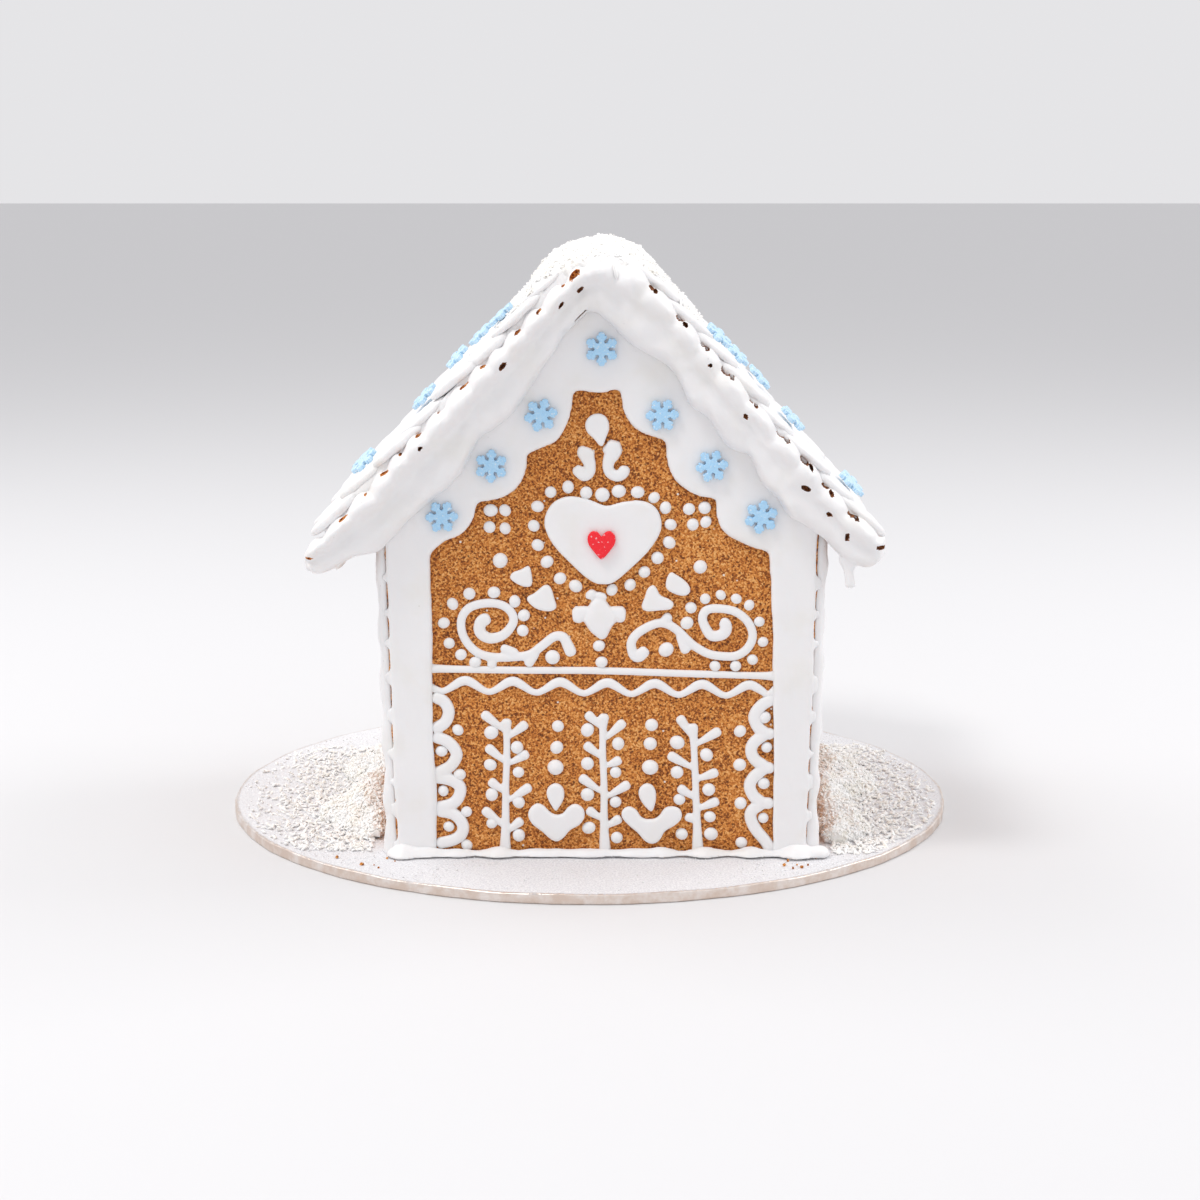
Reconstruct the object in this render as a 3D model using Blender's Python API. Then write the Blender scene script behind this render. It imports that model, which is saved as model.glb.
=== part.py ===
"""A gingerbread house on its round foil cake board.

Six baked panels stand glued into a hollow house: two gable walls, two side walls and two roof panels.
Royal icing faces the walls, rolls along the roof's edges and covers the roof in scalloped tiles.
Sugar snowflakes, hearts and piped ornaments lie on the icing, and coconut snow lies on the ridge
and on the board.

Axes: +X to the right seen from the front, +Y to the back, +Z up. The origin is the centre of the
board's underside. Sizes below are in millimetres, and every mesh is made in metres.
"""

import math

import bmesh
import bpy
from mathutils import Vector

MM = 0.001
GAP = 0.4  # between pieces that touch

# The board and where the house stands on it
BOARD_RADIUS = 152.5
BOARD_THICKNESS = 4.0
HOUSE_X = 5.0
FRONT_Y = -100.0
BACK_Y = 60.0

# The baked panels
PANEL = 6.5
BASE_HALF = 81.5  # half the gable wall's width at the board
EAVE_HALF = 84.5  # and where the roof meets it: the walls lean out a little
ROOF_PITCH = math.radians(46)
RIDGE_HEIGHT = 231.0  # where the two roof faces would meet, above the board
ROOF_REACH = 104.0  # from the middle to the roof's upper edge at the eaves, level
ROOF_OVERHANG = 10.0
EAVE_BOTTOM = 114.6

# The icing
FACING = 2.6
CORNER_ROLL = 5.0
CORNER_WIDTH = 13.0
PIPING = 2.0
TILE_ROWS = 7
TILES_IN_ROW = 8

# The scalloped edge of the facing: a lobe round each snowflake that climbs the gable
LOBE_RADIUS = 13.0
LOBE_FIRST = (61.0, 135.0)
LOBE_STEP = (19.0, 19.5)
LOBES = 3
WINDOW_HALF = 65.5
WINDOW_TOP = 183.0

FLAKE_RADIUS = 6.2
FLAKE_THICKNESS = 1.8
# How far each snowflake on the roof lies behind the front gable, and down the slope
ROOF_FLAKES = ((18, 46), (58, 60), (26, 90), (104, 78), (22, 124), (72, 132))

RISE = math.tan(ROOF_PITCH)
COS = math.cos(ROOF_PITCH)
SIN = math.sin(ROOF_PITCH)


class Face:
    """A flat side that pieces are laid on: across and up along it, and out from it."""

    def __init__(self, origin, across, up):
        self.origin = Vector(origin)
        self.across = Vector(across).normalized()
        self.up = Vector(up).normalized()
        self.out = self.across.cross(self.up)

    def at(self, u, v, out):
        """A place on the face, in metres."""
        return (self.origin + self.across * u + self.up * v + self.out * out) * MM


MIDDLE_Y = (FRONT_Y + BACK_Y) / 2
LEAN = (EAVE_HALF - BASE_HALF) / (RIDGE_HEIGHT - RISE * EAVE_HALF - PANEL / COS)
FRONT = Face((HOUSE_X, FRONT_Y, BOARD_THICKNESS), (1, 0, 0), (0, 0, 1))
BACK = Face((HOUSE_X, BACK_Y, BOARD_THICKNESS), (-1, 0, 0), (0, 0, 1))
LEFT = Face((HOUSE_X - BASE_HALF, MIDDLE_Y, BOARD_THICKNESS), (0, -1, 0), (-LEAN, 0, 1))
RIGHT = Face((HOUSE_X + BASE_HALF, MIDDLE_Y, BOARD_THICKNESS), (0, 1, 0), (LEAN, 0, 1))
RIDGE_Z = BOARD_THICKNESS + RIDGE_HEIGHT
ROOF_LEFT = Face((HOUSE_X, MIDDLE_Y, RIDGE_Z), (0, -1, 0), (COS, 0, SIN))
ROOF_RIGHT = Face((HOUSE_X, MIDDLE_Y, RIDGE_Z), (0, 1, 0), (-COS, 0, SIN))

ROOF_HALF = (BACK_Y - FRONT_Y) / 2 + ROOF_OVERHANG
ROOF_SLOPE = ROOF_REACH / COS  # from where the faces would meet down to the eaves
WALL_HEIGHT = RIDGE_HEIGHT - RISE * EAVE_HALF - PANEL / COS - GAP


def material(name, colour, roughness, metallic=0.0):
    """A Principled finish for one sort of piece."""
    made = bpy.data.materials.new(name)
    made.use_nodes = True
    shader = made.node_tree.nodes["Principled BSDF"]
    shader.inputs["Base Color"].default_value = (*colour, 1.0)
    shader.inputs["Roughness"].default_value = roughness
    shader.inputs["Metallic"].default_value = metallic
    made.diffuse_color = (*colour, 1.0)
    return made


def linked(name, mesh_data, finish):
    """A named object made from a bmesh."""
    bmesh.ops.recalc_face_normals(mesh_data, faces=mesh_data.faces)
    mesh = bpy.data.meshes.new(name)
    mesh_data.to_mesh(mesh)
    mesh_data.free()
    mesh.materials.append(finish)
    piece = bpy.data.objects.new(name, mesh)
    bpy.context.scene.collection.objects.link(piece)
    return piece


def slab(name, face, outline, low, high, finish):
    """An outline on a face, raised from low to high above it."""
    shape = bmesh.new()
    bottom = [shape.verts.new(face.at(u, v, low)) for u, v in outline]
    base = shape.faces.new(bottom)
    raised = bmesh.ops.extrude_face_region(shape, geom=[base])
    moved = [v for v in raised["geom"] if isinstance(v, bmesh.types.BMVert)]
    bmesh.ops.translate(shape, verts=moved, vec=face.out * (high - low) * MM)
    return linked(name, shape, finish)


def skin(name, rings, finish):
    """A solid through closed rings with the same number of points each, capped at both ends."""
    shape = bmesh.new()
    rows = [[shape.verts.new(Vector(p) * MM) for p in ring] for ring in rings]
    count = len(rows[0])
    for one, other in zip(rows, rows[1:]):
        for i in range(count):
            j = (i + 1) % count
            shape.faces.new((one[i], one[j], other[j], other[i]))
    shape.faces.new(rows[0])
    shape.faces.new(rows[-1])
    piece = linked(name, shape, finish)
    piece.data.shade_smooth()
    piece.data.set_sharp_from_angle(angle=math.radians(40))
    return piece


def fuse(pieces):
    """Joins overlapping pieces into the first of them."""
    first, *rest = pieces
    for other in rest:
        other.hide_render = True
        other.display_type = "WIRE"
        other.name = "tool_" + first.name
        union = first.modifiers.new("join", "BOOLEAN")
        union.operation = "UNION"
        union.solver = "EXACT"
        union.object = other


# Outlines, as lists of (across, up) points


def arc(centre, radius, start, end, steps):
    """Points of an arc, from start to end in degrees."""
    angles = [math.radians(start + (end - start) * i / steps) for i in range(steps + 1)]
    return [(centre[0] + radius * math.cos(a), centre[1] + radius * math.sin(a)) for a in angles]


def ribbon(points, width, steps=4):
    """The outline of a piped line: a band along the points, with round ends."""
    path = [Vector(p) for p in points]
    sides = {1: [], -1: []}
    for i, point in enumerate(path):
        along = (path[min(i + 1, len(path) - 1)] - path[max(i - 1, 0)]).normalized()
        for side, line in sides.items():
            line.append(tuple(point + Vector((-along.y, along.x)) * side * width / 2))
    ends = []
    for tip, inner in ((path[-1], path[-2]), (path[0], path[1])):
        heading = math.degrees(math.atan2(*reversed((tip - inner).to_2d())))
        ends.append(arc(tip, width / 2, heading + 90, heading - 90, steps)[1:-1])
    return sides[1] + ends[0] + sides[-1][::-1] + ends[1]


def drop(tail, head, width, steps=6):
    """A teardrop from its thin tail to its round head."""
    start, end = Vector(tail), Vector(head)
    heading = math.degrees(math.atan2(*reversed((end - start).to_2d())))
    side = Vector((end - start).to_2d()).normalized()
    across = Vector((-side.y, side.x)) * width * 0.14
    return [tuple(start - across)] + arc(end, width / 2, heading - 100, heading + 100, steps) + [
        tuple(start + across)
    ]


def heart(centre, width, height, cleft=0.25, steps=6):
    """A heart: two round lobes over a blunt tip. A larger cleft spreads the lobes further apart."""
    radius = width / (4 + 4 * cleft) * 1.35
    reach = width / 2 - radius
    level = centre[1] + height / 2 - radius
    top = math.degrees(math.acos(min(1.0, reach / radius)))
    tip = centre[1] - height / 2
    right = arc((centre[0] + reach, level), radius, 180 - top, -35, steps)
    blunt = [(centre[0] + width * 0.05, tip), (centre[0] - width * 0.05, tip)]
    left = arc((centre[0] - reach, level), radius, 215, top, steps)
    return right + blunt + left[:-1]


def flake(centre, radius, turn=0.0):
    """A six-armed sugar snowflake with blunt arms."""
    arm = ((-30, 0.48), (-17, 0.86), (0, 1.0), (17, 0.86))
    points = []
    for i in range(6):
        for angle, reach in arm:
            a = math.radians(60 * i + angle + turn)
            far = radius * reach
            points.append((centre[0] + far * math.cos(a), centre[1] + far * math.sin(a)))
    return points


def gable(half_base, half_eave, inset):
    """The gable wall's outline, with its slopes set in below the roof by inset."""
    top = RIDGE_HEIGHT - PANEL / COS - inset
    eave = top - RISE * half_eave
    return [(-half_base, GAP), (half_base, GAP), (half_eave, eave), (0, top), (-half_eave, eave)]


def lobe_centre(step, side):
    """The middle of a lobe of the facing, where a snowflake sits."""
    return (side * (LOBE_FIRST[0] - LOBE_STEP[0] * step), LOBE_FIRST[1] + LOBE_STEP[1] * step)


def window(side):
    """Half of the facing's inner edge, from the board up to the middle of its top."""
    points = [(side * WINDOW_HALF, GAP), (side * WINDOW_HALF, LOBE_FIRST[1] - LOBE_RADIUS)]
    for step in range(LOBES):
        lobe = arc(lobe_centre(step, -1), LOBE_RADIUS, -92, 12, 5)
        points += [(-side * u, v) for u, v in lobe]
    return points + [(side * 9.5, WINDOW_TOP)]


# Sub-parts


def cake_board(finish):
    """The round board, with its foil folded over a softened rim."""
    segments = 64
    soft = 0.8
    top = BOARD_THICKNESS
    rings = []
    for radius, height in ((BOARD_RADIUS, 0.0), (BOARD_RADIUS, top - soft), (BOARD_RADIUS - soft, top)):
        circle = arc((0, 0), radius, 0, 360, segments)[:-1]
        rings.append([(x, y, height) for x, y in circle])
    skin("cake_board", rings, finish)


def walls(finish):
    """The two gable walls and, between them, the two side walls."""
    slab("wall_front", FRONT, gable(BASE_HALF, EAVE_HALF, GAP), -PANEL, 0, finish)
    slab("wall_back", BACK, gable(BASE_HALF, EAVE_HALF, GAP), -PANEL, 0, finish)
    half = (BACK_Y - FRONT_Y) / 2 - PANEL - GAP
    side = [(-half, GAP), (half, GAP), (half, WALL_HEIGHT - GAP), (-half, WALL_HEIGHT - GAP)]
    slab("wall_left", LEFT, side, -PANEL, 0, finish)
    slab("wall_right", RIGHT, side, -PANEL, 0, finish)


def roof(finish):
    """The two roof panels, which meet at their lower edges and leave a notch along the ridge."""
    near_ridge = PANEL * RISE + GAP
    outline = [
        (-ROOF_HALF, -ROOF_SLOPE),
        (ROOF_HALF, -ROOF_SLOPE),
        (ROOF_HALF, -near_ridge),
        (-ROOF_HALF, -near_ridge),
    ]
    slab("roof_left", ROOF_LEFT, outline, -PANEL, 0, finish)
    slab("roof_right", ROOF_RIGHT, outline, -PANEL, 0, finish)


def facings(finish):
    """The icing run out over each gable wall, round a window of bare gingerbread with a scalloped edge."""
    under_roof = 2 * GAP + 1.0
    bottom_left, bottom_right, *top = gable(BASE_HALF, EAVE_HALF, under_roof)
    outline = [bottom_right, *top, bottom_left, *window(-1), *window(1)[::-1]]
    for name, face in (("facing_front", FRONT), ("facing_back", BACK)):
        slab(name, face, outline, GAP, GAP + FACING, finish)


def side_facings(finish):
    """The icing on each side wall: a band under the eaves with a scalloped lower edge."""
    half = (BACK_Y - FRONT_Y) / 2 - CORNER_WIDTH - 1.0
    scallops = 7
    width = 2 * half / scallops
    lower, upper = 112.0, 129.0
    edge = []
    for i in range(scallops):
        middle = -half + width * (i + 0.5)
        bow = arc((middle, lower), width / 2, 180, 360, 5)
        edge += bow if i == 0 else bow[1:]
    outline = edge + [(half, upper), (-half, upper)]
    for name, face in (("facing_left", LEFT), ("facing_right", RIGHT)):
        slab(name, face, outline, GAP, GAP + FACING, finish)


def edge_roll(name, face, phase, finish):
    """The icing that rolls over one end of the roof and runs down onto the gable wall in a wavy edge."""
    corner = ROOF_REACH - PANEL * SIN  # the roof panel's lowest edge
    reach = ROOF_REACH + 4.0
    inner = [corner * (i / 15 - 1) for i in range(31)]
    wall_face = FACING + 2 * GAP
    edge = ROOF_OVERHANG + GAP
    rings = []
    for u in (-reach, -corner - 4.0, *inner, corner + 4.0, reach):
        over = RIDGE_HEIGHT - RISE * math.hypot(u, 4.0)
        under = RIDGE_HEIGHT - RISE * math.hypot(min(abs(u), corner), 4.0) - PANEL / COS - 2 * GAP
        hang = 17.5 + 2.2 * math.sin(u / 4.1 + phase) + 1.2 * math.sin(u / 8.7 + 2 * phase)
        lower = max(over - hang, EAVE_BOTTOM + 0.5 * max(0.0, ROOF_REACH - abs(u)))
        lower = min(lower, under - 0.5)
        crest = max(over, under + 1.0) + 2.5
        section = (
            (edge, crest),
            (edge + 4.2, crest - 2.0),
            (edge + 4.2, under - 1.0),
            (wall_face + 3.0, lower + 1.0),
            (wall_face, lower),
            (wall_face, under),
            (edge, under),
        )
        rings.append([tuple(face.at(u, v, out) / MM) for out, v in section])
    skin(name, rings, finish)


def eaves(finish):
    """The icing that closes the lower end of each roof panel and hangs a little below it."""
    half = (BACK_Y - FRONT_Y) / 2 + FACING + GAP
    for side, face in (("left", ROOF_LEFT), ("right", ROOF_RIGHT)):
        rings = []
        for i in range(25):
            u = -half + 2 * half * i / 24
            end = -ROOF_SLOPE - GAP
            hang = 3.2 + 1.4 * math.sin(u / 5.1) + 0.7 * math.sin(u / 9.3)
            tip = (end - hang, -PANEL - 1.2)
            rim = ((end, 0.0), (end - 3.2, -1.2), (end - 4.4, -4.0), tip, (end, -PANEL))
            rings.append([tuple(face.at(u, v, w) / MM) for v, w in rim])
        skin(f"eave_{side}", rings, finish)


def corner_rolls(finish):
    """The icing that glues the side walls to the gable walls, as an upright roll beside each corner."""
    half = (BACK_Y - FRONT_Y) / 2
    low, high = GAP, 128.0
    for side, face in (("left", LEFT), ("right", RIGHT)):
        for end, sign in (("front", 1 if side == "left" else -1), ("back", -1 if side == "left" else 1)):
            middle = sign * (half - 0.5 - CORNER_WIDTH / 2)
            bow = arc((middle, 0.0), CORNER_WIDTH / 2, 180, 0, 8)
            rings = []
            for v in (low, high):
                ring = [(u, v, GAP + w * CORNER_ROLL / (CORNER_WIDTH / 2)) for u, w in bow]
                rings.append([tuple(face.at(*p) / MM) for p in ring])
            skin(f"corner_{end}_{side}", rings, finish)


def feet(finish):
    """The icing along the foot of each gable wall, where it sticks to the board."""
    half = BASE_HALF + 2.0
    out = FACING + 2 * GAP
    for name, face in (("foot_front", FRONT), ("foot_back", BACK)):
        rings = []
        for i in range(13):
            u = -half + 2 * half * i / 12
            size = 3.6 + 0.6 * math.sin(u / 7.0)
            bow = arc((out, GAP), size, 0, 90, 3)
            rings.append([tuple(face.at(u, v, w) / MM) for w, v in [(out, GAP), *bow]])
        skin(name, rings, finish)


def tile_rows(finish):
    """The roof's icing: courses of round-ended tiles, each course lapping over the next one down."""
    top = -(CORNER_WIDTH + 10.0)
    bottom = -(ROOF_SLOPE + 1.0)
    half = ROOF_HALF + GAP
    course = (top - bottom - 4.0) / TILE_ROWS
    width = 2 * half / TILES_IN_ROW
    for side, face in (("left", ROOF_LEFT), ("right", ROOF_RIGHT)):
        base = [(-half, bottom + 6), (half, bottom + 6), (half, top), (-half, top)]
        pieces = [slab(f"tiles_{side}", face, base, GAP, GAP + 1.4, finish)]
        for row in range(TILE_ROWS):
            upper = top - course * row - 0.01 * row
            lower = upper - course + 3.0
            # every other course is shifted by half a tile, with a straight half tile left at each end
            shift = width / 2 if row % 2 else 0.0
            edge = [(half, lower)] if shift else []
            for i in range(TILES_IN_ROW - row % 2):
                middle = half - shift - width * (i + 0.5)
                bow = arc((0, 0), width / 2, 0, -180, 3)
                edge += [(middle + u, lower + v * 0.75) for u, v in bow[(1 if i else 0):]]
            edge += [(-half, lower)] if shift else []
            high = GAP + 3.6 - 0.05 * (row % 3)
            outline = [(half, upper), *edge, (-half, upper)]
            pieces.append(slab("row", face, outline, GAP + 0.5 + 0.03 * row, high, finish))
        fuse(pieces)


def ridge_snow(finish):
    """The coconut heaped along the ridge, which fills the notch between the roof panels."""
    half_width = 14.0
    notch = PANEL * SIN + GAP * COS
    seat = RIDGE_HEIGHT - RISE * notch + 2 * GAP
    floor = seat - notch / RISE
    rings = []
    for i in range(19):
        y = -(ROOF_HALF - 2.0) + 2 * (ROOF_HALF - 2.0) * i / 18
        crest = RIDGE_HEIGHT + 2.4 + 1.1 * math.sin(y / 9.0) + 0.7 * math.sin(y / 4.3 + 1.0)
        edge = RIDGE_HEIGHT - RISE * half_width + 2 * GAP
        fall = (crest - edge - 1.2) / half_width**2
        top = [(u, crest - fall * u * u) for u in (half_width, 9.0, 4.5, 0.0, -4.5, -9.0, -half_width)]
        ring = top + [(-half_width, edge), (-notch, seat), (0, floor), (notch, seat), (half_width, edge)]
        rings.append([(HOUSE_X + u, MIDDLE_Y + y, BOARD_THICKNESS + v) for u, v in ring])
    skin("snow_ridge", rings, finish)


def board_snow(finish):
    """The coconut heaped on the board against each side wall."""
    for side, sign, front, back in (("left", -1, -80.0, 58.0), ("right", 1, -84.0, 62.0)):
        rings = []
        for i in range(17):
            y = front + (back - front) * i / 16
            fade = math.sin(math.pi * (i + 0.6) / 17.2) ** 0.5
            wall = BASE_HALF + CORNER_ROLL + 2.0
            spread = (24.0 + 9.0 * math.sin(y / 13.0 + sign)) * fade
            height = (13.0 + 2.0 * math.sin(y / 9.0)) * fade
            crown = [(0.0, 0.55), (0.15, 0.9), (0.35, 1.0), (0.6, 0.62), (0.82, 0.3), (1.0, 0.0)]
            ring = [(wall, GAP)] + [(wall + spread * s, GAP + height * h + 0.6) for s, h in crown]
            ring.append((wall + spread, GAP))
            rings.append([(HOUSE_X + sign * x, y, BOARD_THICKNESS + z) for x, z in ring])
        skin(f"snow_{side}", rings, finish)


def flakes(finish):
    """The sugar snowflakes: seven climb the front gable, and six lie on each side of the roof."""
    spots = [lobe_centre(step, side) for side in (-1, 1) for step in range(LOBES)]
    spots.append((0.0, LOBE_FIRST[1] + LOBE_STEP[1] * LOBES + 5.5))
    low = FACING + 2 * GAP
    for i, spot in enumerate(spots):
        outline = flake(spot, FLAKE_RADIUS, 12.0 * i + 30)
        slab(f"flake_front_{i + 1}", FRONT, outline, low, low + FLAKE_THICKNESS, finish)
    low = 2 * GAP + 3.6
    for side, sign, face in (("left", 1, ROOF_LEFT), ("right", -1, ROOF_RIGHT)):
        for i, (behind, down) in enumerate(ROOF_FLAKES):
            spot = (sign * (ROOF_HALF - behind), -down + 5.0 * sign)
            outline = flake(spot, FLAKE_RADIUS, 17.0 * i)
            slab(f"flake_roof_{side}_{i + 1}", face, outline, low, low + FLAKE_THICKNESS, finish)


def hearts(icing, sugar):
    """The iced heart in the middle of the gable, the red sugar heart on it, and the two low hearts."""
    slab("heart_iced", FRONT, heart((0.5, 125.5), 44.0, 33.5), GAP, GAP + PIPING, icing)
    top = GAP + PIPING
    slab("heart_red", FRONT, heart((0.0, 124.0), 10.8, 10.8), top + GAP, top + GAP + 1.8, sugar)
    for side, u in (("left", -18.0), ("right", 19.0)):
        slab(f"heart_low_{side}", FRONT, heart((u, 13.2), 18.0, 13.0, 0.6), GAP, GAP + PIPING, icing)


def twig(name, foot, lean, finish):
    """A piped sprig: a stem with a leaf at its tip and four pairs of leaves up its sides."""
    height = 52.0
    stem = ribbon([(foot, 4.6), (foot + lean * 0.4, height * 0.55), (foot + lean, height)], 2.6, 3)
    pieces = [slab(name, FRONT, stem, GAP, 2.0, finish)]
    for step in range(4):
        start = 8.0 + 12.0 * step
        for side, rise in ((-1, 7.0), (1, 5.0)):
            root = (foot + lean * start / height, start + (1.5 if side > 0 else 0.0))
            end = (root[0] + side * 6.6, root[1] + rise)
            leaf = drop(root, end, 3.0, 3)
            high = 2.1 + 0.04 * step + 0.02 * side
            pieces.append(slab("leaf", FRONT, leaf, GAP + 0.05 + 0.02 * step, high, finish))
    fuse(pieces)


def scroll(name, sign, finish):
    """A piped spiral whose outer end runs out along the line below it."""
    centre = Vector((sign * 45.0, 92.5))
    turns = 1.6
    spiral = []
    for i in range(23):
        share = i / 22
        angle = math.radians(200 - 360 * turns * (1 - share))
        radius = 1.6 + 8.6 * share**0.8
        spiral.append((centre.x - sign * radius * math.cos(angle), centre.y - radius * math.sin(angle)))
    tail = [(centre.x - sign * (4.0 + 7.5 * i), 81.6 - 0.9 * i + 0.9 * i * i) for i in range(4)]
    slab(name, FRONT, ribbon(spiral[:-1] + tail, 2.2, 3), GAP, GAP + PIPING, finish)


def lace(name, sign, finish):
    """A piped chain of arcs beside the window's lower edge."""
    points = []
    for i in range(4):
        middle = 55.5 - 15.6 * i
        for k in range(7):
            a = math.pi * k / 6
            points.append((sign * (62.3 - 8.0 * math.sin(a)), middle + 6.6 * math.cos(a)))
    slab(name, FRONT, ribbon(points, 3.0, 3), GAP, GAP + PIPING, finish)


def bands(finish):
    """The two piped lines that part the window: a straight one over a wavy one."""
    reach = WINDOW_HALF - 1.9
    slab("line_straight", FRONT, ribbon([(-reach, 74.0), (reach, 74.0)], 2.4), GAP, GAP + PIPING, finish)
    wave = [(-reach + 2 * reach * i / 28, 66.8 + 1.9 * math.sin(math.pi * (i / 2 + 0.4))) for i in range(29)]
    slab("line_wavy", FRONT, ribbon(wave, 2.6), GAP, GAP + PIPING, finish)


def crown(finish):
    """The ornament at the top of the window: a drop over two curls that turn their backs on each other."""
    pieces = [slab("crown", FRONT, drop((0.0, 160.0), (0.0, 168.6), 8.2), GAP, GAP + PIPING, finish)]
    upper = arc((5.0, 159.4), 3.2, 130, -60, 5)
    lower = arc((6.4, 152.6), 4.0, 125, 330, 6)
    for side in (-1, 1):
        curl = [(side * u, v) for u, v in [(0.6, 161.0), *upper, *lower]]
        high = GAP + PIPING - 0.1 - 0.05 * side
        pieces.append(slab("curl", FRONT, ribbon(curl, 2.8, 3), GAP + 0.05, high, finish))
    fuse(pieces)


def blossom(finish):
    """The four-lobed flower under the heart."""
    pieces = [slab("blossom", FRONT, heart((-0.5, 95.5), 11.0, 15.0), GAP, GAP + PIPING, finish)]
    for i, (end, width) in enumerate((((-9.8, 97.0), 5.4), ((8.8, 96.6), 5.4), ((-0.6, 102.6), 5.2))):
        lobe = drop((-0.5, 96.0), end, width, 5)
        pieces.append(slab("lobe", FRONT, lobe, GAP + 0.05 * (i + 1), GAP + PIPING - 0.06 * (i + 1), finish))
    fuse(pieces)


def build():
    """Clears the scene and makes every piece of the house."""
    for old in list(bpy.data.objects):
        bpy.data.objects.remove(old)
    gingerbread = material("gingerbread", (0.42, 0.19, 0.055), 0.85)
    icing = material("royal_icing", (0.88, 0.87, 0.85), 0.4)
    coconut = material("coconut_snow", (0.9, 0.88, 0.83), 0.8)
    blue_sugar = material("blue_sugar", (0.42, 0.68, 0.9), 0.6)
    red_sugar = material("red_sugar", (0.78, 0.03, 0.05), 0.5)
    foil = material("silver_foil", (0.8, 0.78, 0.76), 0.3, 0.8)
    cake_board(foil)
    walls(gingerbread)
    roof(gingerbread)
    facings(icing)
    side_facings(icing)
    edge_roll("edge_roll_front", FRONT, 0.0, icing)
    edge_roll("edge_roll_back", BACK, 1.3, icing)
    eaves(icing)
    corner_rolls(icing)
    feet(icing)
    tile_rows(icing)
    ridge_snow(coconut)
    board_snow(coconut)
    flakes(blue_sugar)
    hearts(icing, red_sugar)
    for place, foot, lean in (("left", -37.5, 0.0), ("middle", 0.6, 0.3), ("right", 37.5, -2.0)):
        twig(f"twig_{place}", foot, lean, icing)
    scroll("scroll_left", -1, icing)
    scroll("scroll_right", 1, icing)
    lace("lace_left", -1, icing)
    lace("lace_right", 1, icing)
    bands(icing)
    crown(icing)
    blossom(icing)


build()
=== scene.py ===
"""The looks of a gingerbread house that stands on a round foil cake board.

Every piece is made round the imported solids: the baked panels get their crumb, the icing its folds and
drips, the roof its lapping tiles, and the coconut lies as loose shreds over smaller cores. Sizes are in
millimetres on the side of the house a piece lies on, and meshes are placed in metres.
"""

from __future__ import annotations

import logging
import math
import random
from collections.abc import Callable, Sequence
from dataclasses import dataclass
from enum import Enum

import bpy
import numpy as np
from mathutils import Matrix, Vector, noise


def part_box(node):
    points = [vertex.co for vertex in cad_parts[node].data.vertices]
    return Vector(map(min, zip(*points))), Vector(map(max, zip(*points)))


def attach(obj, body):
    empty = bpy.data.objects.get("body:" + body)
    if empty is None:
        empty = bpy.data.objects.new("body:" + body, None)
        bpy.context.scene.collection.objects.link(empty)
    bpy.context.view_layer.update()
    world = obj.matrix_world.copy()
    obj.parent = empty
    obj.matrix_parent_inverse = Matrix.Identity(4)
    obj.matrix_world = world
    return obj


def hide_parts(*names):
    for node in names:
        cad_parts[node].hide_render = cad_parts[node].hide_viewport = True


log = logging.getLogger("gingerbread")

MM = 0.001
GAP = 0.4
Point = tuple[float, float]
Spot = tuple[float, float, float]
Socket = bpy.types.NodeSocket
Piece = bpy.types.Object


class Slot(Enum):
    """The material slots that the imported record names."""

    GINGERBREAD = "gingerbread"
    ICING = "royal_icing"
    COCONUT = "coconut_snow"
    BLUE = "blue_sugar"
    RED = "red_sugar"
    FOIL = "silver_foil"


# ---------------------------------------------------------------- finishes


class Value:
    """A shader socket that takes part in Python sums."""

    def __init__(self, graph: Graph, socket: Socket) -> None:
        """Keeps the socket and the graph it belongs to."""
        self.graph = graph
        self.socket = socket

    def _math(self, operation: str, first: object, second: object) -> Value:
        """Adds one Math node.

        Args:
            operation: the Math node's operation.
            first: a Value or a number.
            second: a Value or a number.

        Returns:
            The node's result.
        """
        made = self.graph.node("ShaderNodeMath", {"operation": operation}, {0: first, 1: second})
        return Value(self.graph, made.outputs[0])

    def __add__(self, other: object) -> Value:
        """self + other."""
        return self._math("ADD", self, other)

    __radd__ = __add__

    def __sub__(self, other: object) -> Value:
        """self - other."""
        return self._math("SUBTRACT", self, other)

    def __rsub__(self, other: object) -> Value:
        """other - self."""
        return self._math("SUBTRACT", other, self)

    def __mul__(self, other: object) -> Value:
        """self * other."""
        return self._math("MULTIPLY", self, other)

    __rmul__ = __mul__

    def __truediv__(self, other: object) -> Value:
        """self / other."""
        return self._math("DIVIDE", self, other)

    def __pow__(self, other: object) -> Value:
        """self ** other."""
        return self._math("POWER", self, other)

    def step(self, low: float, high: float) -> Value:
        """A soft step from 0 at low to 1 at high.

        Args:
            low: the value that gives 0.
            high: the value that gives 1.

        Returns:
            The stepped value.
        """
        settings = {"interpolation_type": "SMOOTHSTEP"}
        inputs = {"Value": self, "From Min": low, "From Max": high}
        made = self.graph.node("ShaderNodeMapRange", settings, inputs)
        return Value(self.graph, made.outputs["Result"])


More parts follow.
